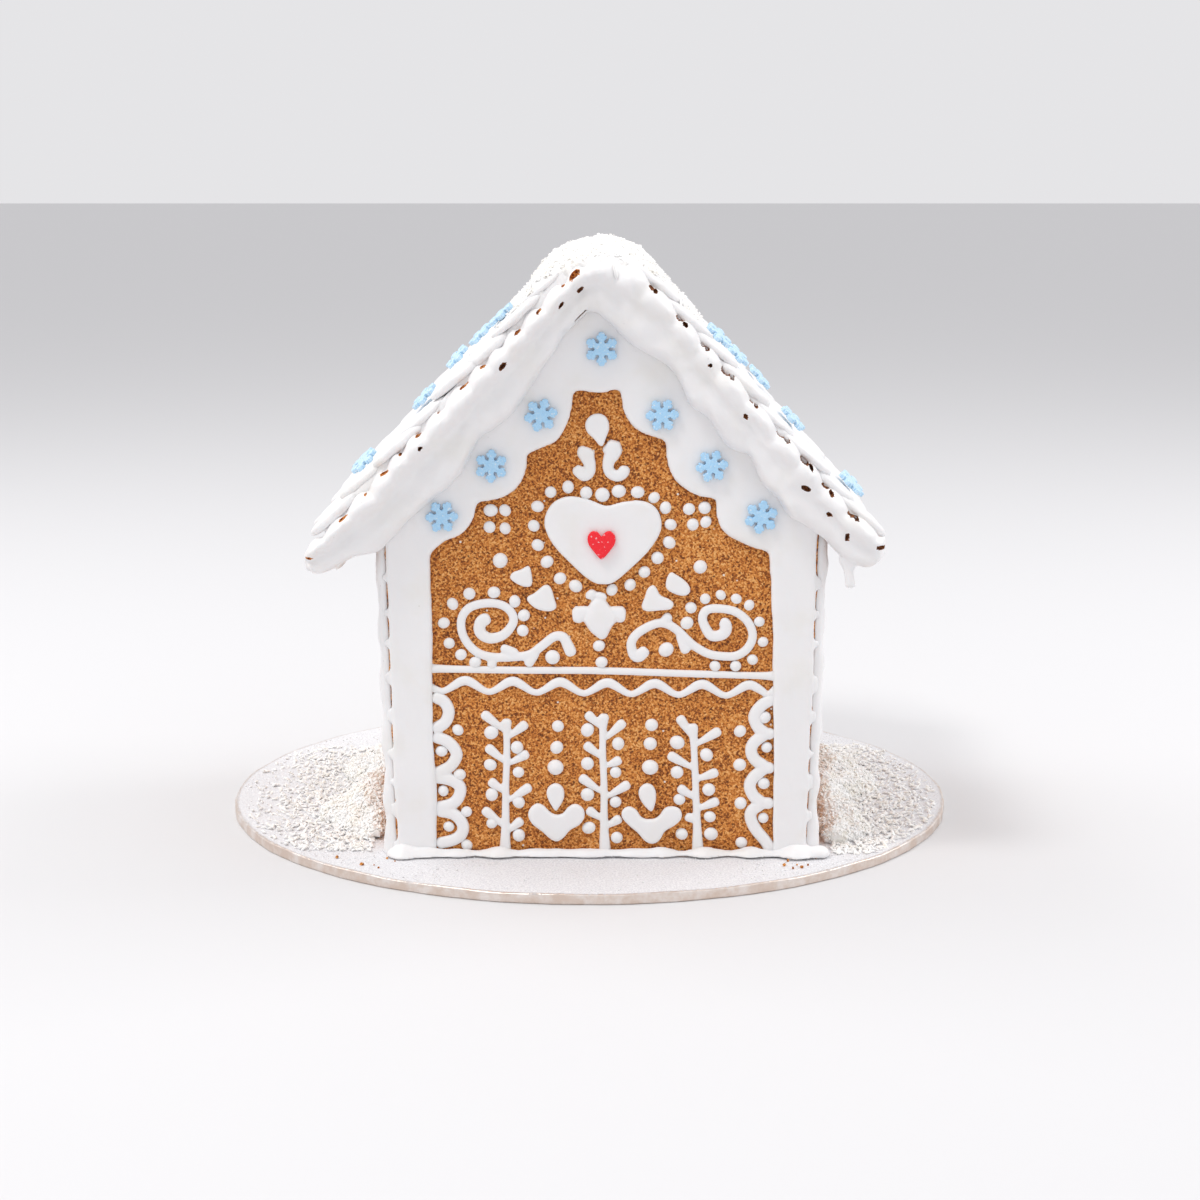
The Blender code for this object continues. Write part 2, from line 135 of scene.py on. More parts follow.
class Graph:
    """A material under construction, with the patterns that finishes share."""

    def __init__(self, name: str) -> None:
        """Starts a material that holds only its shader and output.

        Args:
            name: the material's name.
        """
        self.material = bpy.data.materials.new(name)
        self.material.use_nodes = True
        self.tree = self.material.node_tree
        self.shader = self.tree.nodes["Principled BSDF"]
        self.place = self.node("ShaderNodeTexCoord", {}, {}).outputs["Object"]

    def node(self, kind: str, settings: dict[str, object], inputs: dict[object, object]) -> bpy.types.Node:
        """Adds any node.

        Args:
            kind: the node's type.
            settings: its properties, which are set first; stops are a ramp's (place, colour) pairs.
            inputs: what goes into its sockets: a Value, a socket, or a number or colour.

        Returns:
            The node.
        """
        made = self.tree.nodes.new(kind)
        for key, value in settings.items():
            if key == "stops":
                self._stops(made.color_ramp, value)
            else:
                setattr(made, key, value)
        for key, value in inputs.items():
            self.feed(made.inputs[key], value)
        return made

    def feed(self, socket: Socket, value: object) -> None:
        """Links or sets one socket.

        Args:
            socket: the socket to feed.
            value: a Value, a socket, or a number or colour.
        """
        if isinstance(value, Value):
            self.tree.links.new(value.socket, socket)
        elif isinstance(value, Socket):
            self.tree.links.new(value, socket)
        else:
            socket.default_value = value

    @staticmethod
    def _stops(ramp: bpy.types.ColorRamp, stops: Sequence[tuple[float, Spot]]) -> None:
        """Sets a ramp's stops, each a place and a colour.

        Args:
            ramp: the ramp to set.
            stops: a place and a colour for each stop.
        """
        while len(ramp.elements) < len(stops):
            ramp.elements.new(1.0)
        for element, (place, colour) in zip(ramp.elements, stops):
            element.position = place
            element.color = (*colour, 1.0)

    def cloud(self, size: float, detail: float = 3.0, rough: float = 0.5, seed: float = 0.0) -> Value:
        """Soft noise.

        Args:
            size: the size of its patches in millimetres.
            detail: how many finer layers it has.
            rough: how strong these are.
            seed: shifts the pattern.

        Returns:
            Values round 0.5.
        """
        shift = (seed, seed * 0.7, -seed)
        moved = self.node("ShaderNodeMapping", {}, {"Vector": self.place, "Location": shift})
        scale = 1 / (size * MM)
        inputs = {"Vector": moved.outputs[0], "Scale": scale, "Detail": detail, "Roughness": rough}
        return Value(self, self.node("ShaderNodeTexNoise", {}, inputs).outputs[0])

    def grains(self, size: float, seed: float = 0.0) -> tuple[Value, Value]:
        """Separate grains.

        Args:
            size: how far apart the grains lie, in millimetres.
            seed: shifts the pattern.

        Returns:
            The distance from the grain's middle, in grain sizes, and a number from 0 to 1 for each grain.
        """
        shift = (seed, -seed, seed * 0.3)
        moved = self.node("ShaderNodeMapping", {}, {"Vector": self.place, "Location": shift})
        inputs = {"Vector": moved.outputs[0], "Scale": 1 / (size * MM)}
        made = self.node("ShaderNodeTexVoronoi", {}, inputs)
        split = self.node("ShaderNodeSeparateColor", {}, {"Color": made.outputs["Color"]})
        return Value(self, made.outputs["Distance"]), Value(self, split.outputs[0])

    def ramp(self, value: Value, *stops: tuple[float, Spot]) -> Socket:
        """A colour read from a value along stops."""
        return self.node("ShaderNodeValToRGB", {"stops": stops}, {"Fac": value}).outputs["Color"]

    def mix(self, share: object, first: object, second: object) -> Socket:
        """A mix of two colours.

        Args:
            share: how much of the second, as a Value or number.
            first: a colour socket or colour.
            second: a colour socket or colour.

        Returns:
            The mixed colour.
        """
        made = self.node("ShaderNodeMix", {"data_type": "RGBA"}, {"Factor": share})
        for name, colour in (("A", first), ("B", second)):
            socket = [s for s in made.inputs if s.name == name and s.type == "RGBA"][0]
            self.feed(socket, (*colour, 1.0) if isinstance(colour, tuple) else colour)
        return [s for s in made.outputs if s.type == "RGBA"][0]

    def bump(self, height: Value, depth: float, after: Socket | None = None) -> Socket:
        """Relief from a height.

        Args:
            height: the height, from 0 to 1.
            depth: how deep 1 is, in millimetres.
            after: relief that this one is laid over.

        Returns:
            The shading normal.
        """
        inputs: dict[object, object] = {"Height": height, "Strength": 1.0, "Distance": depth * MM}
        if after is not None:
            inputs["Normal"] = after
        return self.node("ShaderNodeBump", {}, inputs).outputs[0]

    def set(self, **inputs: object) -> bpy.types.Material:
        """Feeds the shader's sockets.

        Args:
            inputs: socket names with underscores for spaces, and what goes into each.

        Returns:
            The finished material.
        """
        for key, value in inputs.items():
            colour = isinstance(value, tuple) and len(value) == 3 and "Radius" not in key
            self.feed(self.shader.inputs[key.replace("_", " ")], (*value, 1.0) if colour else value)
        return self.material


@dataclass(frozen=True)
class Gingerbread:
    """Baked brown biscuit: fine light and dark crumb, open pits painted dark with shade, and a few flecks of
    sugar.
    """

    pale: Spot = (0.90, 0.50, 0.19)
    light: Spot = (0.74, 0.30, 0.066)
    mid: Spot = (0.54, 0.17, 0.03)
    dark: Spot = (0.17, 0.045, 0.01)

    def build(self) -> bpy.types.Material:
        """Makes the material.

        Returns:
            The material.
        """
        g = Graph("gingerbread crumb")
        crumb = g.cloud(0.95, 3.0, 0.7)
        tone = g.cloud(26.0, 3.0, 0.55, 3.0)
        grain, kind = g.grains(0.62, 1.0)
        pit, _ = g.grains(3.1, 5.0)
        fleck, rare = g.grains(4.6, 9.0)
        shade = crumb * 1.35 + tone * 0.36 + kind * 0.48 - 0.63
        colour = g.ramp(shade, (0.2, self.dark), (0.42, self.mid), (0.6, self.light), (0.82, self.pale))
        # Painted shade in the pits: their colour goes towards near-black brown, and the same mask sinks them
        # in the relief.
        shaded_pit = 1.0 - (pit + crumb * 0.16).step(0.15, 0.27)
        colour = g.mix(shaded_pit * 0.85, colour, (0.13, 0.038, 0.012))
        sugar = (1.0 - fleck.step(0.07, 0.12)) * rare.step(0.80, 0.82)
        colour = g.mix(sugar * 0.9, colour, (0.9, 0.86, 0.8))
        relief = g.bump(crumb * 0.7 + (1.0 - grain) * 0.5 - shaded_pit * 0.8, 0.42)
        relief = g.bump(g.cloud(9.0, 2.0, 0.5, 7.0), 0.5, relief)
        return g.set(Base_Color=colour, Roughness=0.66 + crumb * 0.25, Normal=relief, Specular_IOR_Level=0.35)


@dataclass(frozen=True)
class HoleShade:
    """Near-black brown laid inside the holes in the icing: partly the biscuit under it, mostly painted shade
    in the holes.
    """

    light: Spot = (0.36, 0.13, 0.04)
    dark: Spot = (0.07, 0.022, 0.008)

    def build(self) -> bpy.types.Material:
        """Makes the material.

        Returns:
            The material.
        """
        g = Graph("painted_shade crumb")
        crumb = g.cloud(1.1, 4.0, 0.7)
        colour = g.ramp(crumb, (0.4, self.dark), (0.62, self.light))
        return g.set(Base_Color=colour, Roughness=0.9, Normal=g.bump(crumb, 0.4))


@dataclass(frozen=True)
class RoyalIcing:
    """Set white icing: soft sheen, faint cream clouds, tiny air holes painted grey with shade."""

    name: str = "royal icing"
    white: Spot = (0.875, 0.865, 0.868)
    cream: Spot = (0.845, 0.825, 0.795)
    sheen: float = 0.36
    dust: float = 0.0

    def build(self) -> bpy.types.Material:
        """Makes the material.

        Returns:
            The material.
        """
        g = Graph(self.name)
        cloud = g.cloud(17.0, 3.0, 0.55)
        fine = g.cloud(3.4, 3.0, 0.55, 2.0)
        hole, rare = g.grains(5.2, 4.0)
        # Painted shade in the tiny air holes: their colour goes towards grey, and the same mask dents the
        # relief.
        shaded_pinhole = (1.0 - hole.step(0.025, 0.055)) * rare.step(0.66, 0.7)
        colour = g.mix(cloud.step(0.46, 0.72) * 0.6, self.white, self.cream)
        colour = g.mix(shaded_pinhole * 0.55, colour, (0.45, 0.42, 0.4))
        rough = self.sheen + fine * 0.16
        relief = g.bump(fine * 0.55 - shaded_pinhole, 0.16)
        relief = g.bump(cloud, 0.35, relief)
        if self.dust:
            powder = g.cloud(0.9, 3.0, 0.7, 6.0)
            patch = (cloud + fine * 0.5).step(0.6, 0.85)
            rough = rough + patch * 0.3
            relief = g.bump(powder * patch, self.dust, relief)
        g.set(Subsurface_Weight=0.22, Subsurface_Radius=(1.0, 0.86, 0.8), Subsurface_Scale=0.0018)
        return g.set(Base_Color=colour, Roughness=rough, Normal=relief, Specular_IOR_Level=0.5)


@dataclass(frozen=True)
class PressedSugar:
    """Sugar pressed in a mould, with its grain showing."""

    name: str
    colour: Spot
    pale: Spot
    grain: float = 0.45
    rough: float = 0.5

    def build(self) -> bpy.types.Material:
        """Makes the material.

        Returns:
            The material.
        """
        g = Graph(self.name)
        edge, kind = g.grains(self.grain, 2.0)
        cloud = g.cloud(2.6, 3.0, 0.6)
        colour = g.mix((kind * 0.55 + cloud * 0.6).step(0.42, 0.95) * 0.35, self.colour, self.pale)
        glint = kind.step(0.965, 0.98)
        colour = g.mix(glint * 0.5, colour, (0.95, 0.95, 0.97))
        relief = g.bump((1.0 - edge) * 0.7 + cloud * 0.5, 0.16)
        g.set(Subsurface_Weight=0.12, Subsurface_Radius=(1.0, 0.8, 0.8), Subsurface_Scale=0.0012)
        return g.set(Base_Color=colour, Roughness=self.rough - glint * 0.25, Normal=relief)


@dataclass(frozen=True)
class Coconut:
    """Desiccated coconut, creamy white and dry."""

    white: Spot = (0.975, 0.97, 0.96)
    cream: Spot = (0.975, 0.945, 0.875)

    def build(self) -> bpy.types.Material:
        """Makes the material.

        Returns:
            The material.
        """
        g = Graph("desiccated coconut")
        cloud = g.cloud(5.5, 3.0, 0.6)
        fibre = g.cloud(0.7, 3.0, 0.6, 3.0)
        colour = g.mix(cloud.step(0.42, 0.68) * 0.75, self.white, self.cream)
        relief = g.bump(fibre, 0.18)
        return g.set(Base_Color=colour, Roughness=0.55 + fibre * 0.3, Normal=relief)


@dataclass(frozen=True)
class DustedFoil:
    """Embossed silver foil, bare round the rim and white with icing powder on top; the bare foil carries a
    painted highlight where its crinkles rise.
    """

    radius: float
    top: float
    silver: Spot = (0.72, 0.60, 0.52)

    def build(self) -> bpy.types.Material:
        """Makes the material.

        Returns:
            The material.
        """
        g = Graph("dusted silver foil")
        split = g.node("ShaderNodeSeparateXYZ", {}, {"Vector": g.place})
        x, y, z = (Value(g, split.outputs[i]) for i in range(3))
        reach = (x * x + y * y) ** 0.5
        crinkle = g.cloud(7.0, 4.0, 0.6)
        weave, _ = g.grains(1.3, 1.0)
        powder = g.cloud(0.8, 4.0, 0.7, 5.0)
        drift = g.cloud(30.0, 3.0, 0.5, 2.0)
        level = z.step(self.top - 0.5 * MM, self.top - 0.15 * MM)
        inner = 1.0 - (reach + (powder - 0.5) * 0.006).step(self.radius - 1.6 * MM, self.radius - 0.5 * MM)
        cover = level * inner * ((powder * 0.9 + drift * 0.9).step(0.38, 0.6) * 0.1 + 0.9)
        # Painted highlight: the bare foil's colour goes lighter where the crinkle noise rises, the same noise
        # that makes its relief.
        highlit_metal = g.mix(crinkle.step(0.35, 0.7), self.silver, (0.86, 0.80, 0.76))
        snow = g.mix(powder.step(0.36, 0.64), (0.73, 0.72, 0.745), (0.93, 0.925, 0.935))
        colour = g.mix(cover, highlit_metal, snow)
        relief = g.bump(crinkle * 0.8 + weave * 0.25, 0.22)
        relief = g.bump(powder * cover, 0.5, relief)
        return g.set(
            Base_Color=colour,
            Roughness=0.32 + crinkle * 0.14 + cover * 0.45,
            Metallic=0.92 - cover * 0.92,
            Normal=relief,
        )


@dataclass(frozen=True)
class Studio:
    """Plain paper for the floor."""

    pale: Spot = (0.72, 0.717, 0.725)

    def build(self) -> bpy.types.Material:
        """Makes the material."""
        return Graph("studio paper").set(Base_Color=self.pale, Roughness=0.9)


# ---------------------------------------------------------------- the workbench


class Bench:
    """The moves that shape a mesh as by hand."""

    @staticmethod
    def alone(piece: Piece) -> None:
        """Selects one object and nothing else.

        Args:
            piece: the object.
        """
        bpy.ops.object.select_all(action="DESELECT")
        piece.select_set(True)
        bpy.context.view_layer.objects.active = piece

    @staticmethod
    def modify(piece: Piece, kind: str, **settings: object) -> None:
        """Adds a modifier and applies it.

        Args:
            piece: the object to shape.
            kind: the modifier's type.
            settings: its properties.
        """
        Bench.alone(piece)
        added = piece.modifiers.new(kind.lower(), kind)
        for key, value in settings.items():
            setattr(added, key, value)
        bpy.ops.object.modifier_apply(modifier=added.name)

    @staticmethod
    def join(pieces: Sequence[Piece]) -> Piece:
        """Joins objects into the first of them and returns it.

        Args:
            pieces: the objects; the first takes up the others.

        Returns:
            The joined object.
        """
        bpy.ops.object.select_all(action="DESELECT")
        for piece in pieces:
            piece.select_set(True)
        bpy.context.view_layer.objects.active = pieces[0]
        if len(pieces) > 1:
            bpy.ops.object.join()
        return pieces[0]

    @staticmethod
    def edit(piece: Piece, *moves: Callable[[], object]) -> None:
        """Runs moves on all of a mesh in edit mode.

        Args:
            piece: the object to edit.
            moves: calls of edit-mode operators.
        """
        Bench.alone(piece)
        bpy.ops.object.mode_set(mode="EDIT")
        bpy.ops.mesh.select_all(action="SELECT")
        for move in moves:
            move()
        bpy.ops.object.mode_set(mode="OBJECT")

    @staticmethod
    def outward(piece: Piece) -> None:
        """Merges doubles and turns every face outwards.

        Args:
            piece: the object.
        """
        Bench.edit(
            piece,
            lambda: bpy.ops.mesh.remove_doubles(threshold=1e-6),
            lambda: bpy.ops.mesh.normals_make_consistent(inside=False),
        )

    @staticmethod
    def loft(name: str, rings: Sequence[Sequence[Sequence[float]]]) -> Piece:
        """A closed skin over rings that hold the same number of points, with a pole at each end.

        Args:
            name: the object's name.
            rings: the rings, in order.

        Returns:
            The object, in the rings' own units.
        """
        grid = np.array(rings, float)
        count, around = grid.shape[:2]
        faces = []
        for i in range(count - 1):
            for j in range(around):
                k = (j + 1) % around
                faces.append((i * around + j, i * around + k, (i + 1) * around + k, (i + 1) * around + j))
        ends = np.array([grid[0].mean(0), grid[-1].mean(0)])
        last = (count - 1) * around
        for j in range(around):
            k = (j + 1) % around
            faces.append((k, j, count * around))
            faces.append((last + j, last + k, count * around + 1))
        mesh = bpy.data.meshes.new(name)
        mesh.from_pydata([tuple(p) for p in np.vstack([grid.reshape(-1, 3), ends])], [], faces)
        piece = bpy.data.objects.new(name, mesh)
        bpy.context.scene.collection.objects.link(piece)
        Bench.outward(piece)
        return piece

    @staticmethod
    def move(piece: Piece, rule: Callable[[np.ndarray], np.ndarray]) -> None:
        """Moves every point of a mesh by a rule that takes and gives an array of points.

        Args:
            piece: the object.
            rule: takes the mesh's points and gives them back, moved.
        """
        flat = np.empty(len(piece.data.vertices) * 3, np.float32)
        piece.data.vertices.foreach_get("co", flat)
        piece.data.vertices.foreach_set("co", rule(flat.reshape(-1, 3)).astype(np.float32).ravel())
        piece.data.update()

    @staticmethod
    def wobble(piece: Piece, depth: float, size: float, seed: float = 0.0) -> None:
        """Makes a surface uneven, as a hand leaves it.

        Args:
            piece: the object to shape.
            depth: how far points move along their normals, in the mesh's units.
            size: the size of the dents, in the same units.
            seed: shifts the dents.
        """
        shift = Vector((seed, -seed, seed * 0.5))
        normals = [v.normal.copy() for v in piece.data.vertices]
        for vertex, normal in zip(piece.data.vertices, normals):
            vertex.co += normal * depth * noise.noise(vertex.co / size + shift)

    @staticmethod
    def blend(piece: Piece, voxel: float, rounds: int, keep: float = 1.0) -> None:
        """Melts overlapping shapes into one skin.

        Args:
            piece: the object to melt.
            voxel: the grid's size in the mesh's units.
            rounds: how often the skin is smoothed.
            keep: the share of the skin's faces that stays.
        """
        Bench.modify(piece, "REMESH", mode="VOXEL", voxel_size=voxel)
        if rounds:
            Bench.modify(piece, "SMOOTH", factor=0.5, iterations=rounds)
        if keep < 1:
            Bench.modify(piece, "DECIMATE", ratio=keep)

    @staticmethod
    def copy_of(node: str, name: str) -> Piece:
        """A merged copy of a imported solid.

        Args:
            node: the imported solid.
            name: the copy's name.

        Returns:
            The copy.
        """
        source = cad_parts[node]
        piece = bpy.data.objects.new(name, source.data.copy())
        piece.data.materials.clear()
        bpy.context.scene.collection.objects.link(piece)
        Bench.edit(piece, lambda: bpy.ops.mesh.remove_doubles(threshold=1e-6))
        return piece

    @staticmethod
    def scatter(name: str, seeds: Sequence[Piece], places: Sequence[Matrix]) -> Piece:
        """Copies small shapes to many places, as one mesh of triangles.

        Args:
            name: the new object's name.
            seeds: the shapes, which are used in turn and then removed.
            places: where each copy goes.

        Returns:
            The joined copies.
        """
        shapes = []
        for seed in seeds:
            Bench.modify(seed, "TRIANGULATE")
            points = np.array([v.co[:] for v in seed.data.vertices])
            faces = np.array([p.vertices[:] for p in seed.data.polygons])
            shapes.append((points, faces))
            bpy.data.objects.remove(seed)
        points, faces, start = [], [], 0
        for i, place in enumerate(places):
            shape, triangles = shapes[i % len(shapes)]
            turn = np.array(place.to_3x3())
            points.append(shape @ turn.T + np.array(place.translation))
            faces.append(triangles + start)
            start += len(shape)
        all_points = np.vstack(points)
        all_faces = np.vstack(faces)
        mesh = bpy.data.meshes.new(name)
        mesh.vertices.add(len(all_points))
        mesh.vertices.foreach_set("co", all_points.astype(np.float32).ravel())
        mesh.loops.add(all_faces.size)
        mesh.loops.foreach_set("vertex_index", all_faces.astype(np.int32).ravel())
        mesh.polygons.add(len(all_faces))
        mesh.polygons.foreach_set("loop_start", np.arange(0, all_faces.size, 3, dtype=np.int32))
        mesh.update(calc_edges=True)
        piece = bpy.data.objects.new(name, mesh)
        bpy.context.scene.collection.objects.link(piece)
        return piece

    @staticmethod
    def done(
        piece: Piece,
        name: str,
        finishes: Sequence[bpy.types.Material],
        slot: Slot,
        nodes: Sequence[str] = (),
        crease: float = 60.0,
    ) -> Piece:
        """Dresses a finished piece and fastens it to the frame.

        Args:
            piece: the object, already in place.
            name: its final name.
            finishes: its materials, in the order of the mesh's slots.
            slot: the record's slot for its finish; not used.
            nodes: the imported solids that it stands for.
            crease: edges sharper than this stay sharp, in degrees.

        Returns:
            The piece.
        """
        piece.name = name
        piece.data.name = name
        piece.data.materials.clear()
        for finish in finishes:
            piece.data.materials.append(finish)
        Bench.alone(piece)
        bpy.ops.object.shade_smooth_by_angle(angle=math.radians(crease))
        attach(piece, "root")
        if nodes:
            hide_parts(*nodes)
        log.info("%s: %d faces", name, len(piece.data.polygons))
        return piece


# ---------------------------------------------------------------- the house's sides


@dataclass(frozen=True)
class Side:
    """A flat side of the house, with places given across it, up it and out from it."""

    origin: Vector
    across: Vector
    up: Vector

    def matrix(self) -> Matrix:
        """Turns millimetres on the side into metres in the frame.

        Returns:
            The matrix.
        """
        out = self.across.cross(self.up).normalized()
        turn = Matrix((self.across.normalized(), self.up.normalized(), out)).transposed()
        return Matrix.Translation(self.origin) @ (turn * MM).to_4x4()

    def lay(self, piece: Piece) -> None:
        """Places a mesh that was made in the side's own millimetres."""
        piece.data.transform(self.matrix())
        piece.data.update()


@dataclass
class House:
    """The house's driving sizes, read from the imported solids."""

    pitch: float = math.radians(46.0)
    # How far each side wall leans out from foot to eave, and how far a gable's peak is above the eaves
    flare: float = 3.0
    gable: float = 91.7
    # The roof's icing: how high at the ridge, and how much less at the eave
    iced_left: Point = (12.6, 1.6)
    iced_right: Point = (13.2, 5.4)

    def __post_init__(self) -> None:
        """Works out the sides."""
        low, high = (Vector(c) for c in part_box("wall_front"))
        self.board_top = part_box("cake_board")[1][2]
        self.board_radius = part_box("cake_board")[1][0]
        self.middle = (low.x + high.x) / 2
        self.front_y = low.y
        self.back_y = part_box("wall_back")[1][1]
        self.panel = (high.y - low.y) / MM
        self.rise = math.tan(self.pitch)
        self.cos = math.cos(self.pitch)
        self.sin = math.sin(self.pitch)
        self.eave_half = (high.x - low.x) / 2 / MM
        self.base_half = self.eave_half - self.flare
        self.ridge = (high.z - self.board_top) / MM + self.panel / self.cos + GAP
        self.reach = (self.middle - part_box("roof_left")[0][0]) / MM
        self.slope = self.reach / self.cos
        roof_low, roof_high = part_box("roof_left")
        self.roof_half = (roof_high[1] - roof_low[1]) / 2 / MM
        self.depth_half = (self.back_y - self.front_y) / 2 / MM
        mid_y = (self.front_y + self.back_y) / 2
        top = self.board_top
        lean = self.flare / (high.z / MM - self.gable)
        wall = self.base_half * MM
        self.front = Side(Vector((self.middle, self.front_y, top)), Vector((1, 0, 0)), Vector((0, 0, 1)))
        self.back = Side(Vector((self.middle, self.back_y, top)), Vector((-1, 0, 0)), Vector((0, 0, 1)))
        self.left = Side(Vector((self.middle - wall, mid_y, top)), Vector((0, -1, 0)), Vector((-lean, 0, 1)))
        self.right = Side(Vector((self.middle + wall, mid_y, top)), Vector((0, 1, 0)), Vector((lean, 0, 1)))
        peak = Vector((self.middle, mid_y, top + self.ridge * MM))
        self.roof_left = Side(peak, Vector((0, -1, 0)), Vector((self.cos, 0, self.sin)))
        self.roof_right = Side(peak, Vector((0, 1, 0)), Vector((-self.cos, 0, self.sin)))

    def iced(self, name: str, down: float) -> float:
        """How high the roof's icing stands.

        Args:
            name: the left or the right slope.
            down: how far below the ridge, along the slope.

        Returns:
            The height of the tiles' tips above the biscuit.
        """
        share = min(1.0, max(0.0, down / self.slope))
        thick, less = self.iced_left if name == "left" else self.iced_right
        return thick - less * share


# ---------------------------------------------------------------- drawing with a piping bag


def curve_through(points: Sequence[Sequence[float]], spacing: float, closed: bool = False) -> list[Vector]:
    """A smooth line through points.

    Args:
        points: the places it passes, each with a width if it has one.
        spacing: how far apart the line's own points are.
        closed: whether it runs back to its start.

    Returns:
        The line's points.
    """
    path = [Vector((p[0], p[1], p[2] if len(p) > 2 else 0.0)) for p in points]
    count = len(path)
    spans = count if closed else count - 1
    line = []
    for i in range(spans):
        if closed:
            a, b, c, d = (path[(i + k) % count] for k in (-1, 0, 1, 2))
        else:
            b, c = path[i], path[i + 1]
            a = path[i - 1] if i else b * 2 - c
            d = path[i + 2] if i + 2 < count else c * 2 - b
        steps = max(2, int((c.xy - b.xy).length / spacing))
        for k in range(steps):
            t = k / steps
            square, cube = 2 * a - 5 * b + 4 * c - d, 3 * b - a - 3 * c + d
            line.append(0.5 * (2 * b + (c - a) * t + square * t**2 + cube * t**3))
    if not closed:
        line.append(path[-1])
    return line


@dataclass(frozen=True)
class Stroke:
    """One squeeze of the piping bag: where it goes, and how wide it is from start to end."""

    points: Sequence[Point]
    widths: Sequence[float] = (2.8,)

    def drawn(self) -> tuple[list[Vector], list[float]]:
        """The stroke's line and its radius along it, with round ends.

        Returns:
            The line's points, and the radius at each.
        """
        share = np.linspace(0, 1, len(self.points))
        wide = np.interp(share, np.linspace(0, 1, len(self.widths)), self.widths)
        line = curve_through([(u, v, w) for (u, v), w in zip(self.points, wide)], 0.5)
        run = [0.0]
        for one, other in zip(line, line[1:]):
            run.append(run[-1] + (other.xy - one.xy).length)
        rounded = []
        for place, point in zip(run, line):
            radius = max(point.z / 2 + 0.2, 0.3)
            near = min(place, run[-1] - place) + 0.12 * radius
            inset = max(0.0, 1.0 - near / radius)
            rounded.append(radius * math.sqrt(max(0.02, 1.0 - inset * inset)))
        return [Vector((p.x, p.y, 0.0)) for p in line], rounded


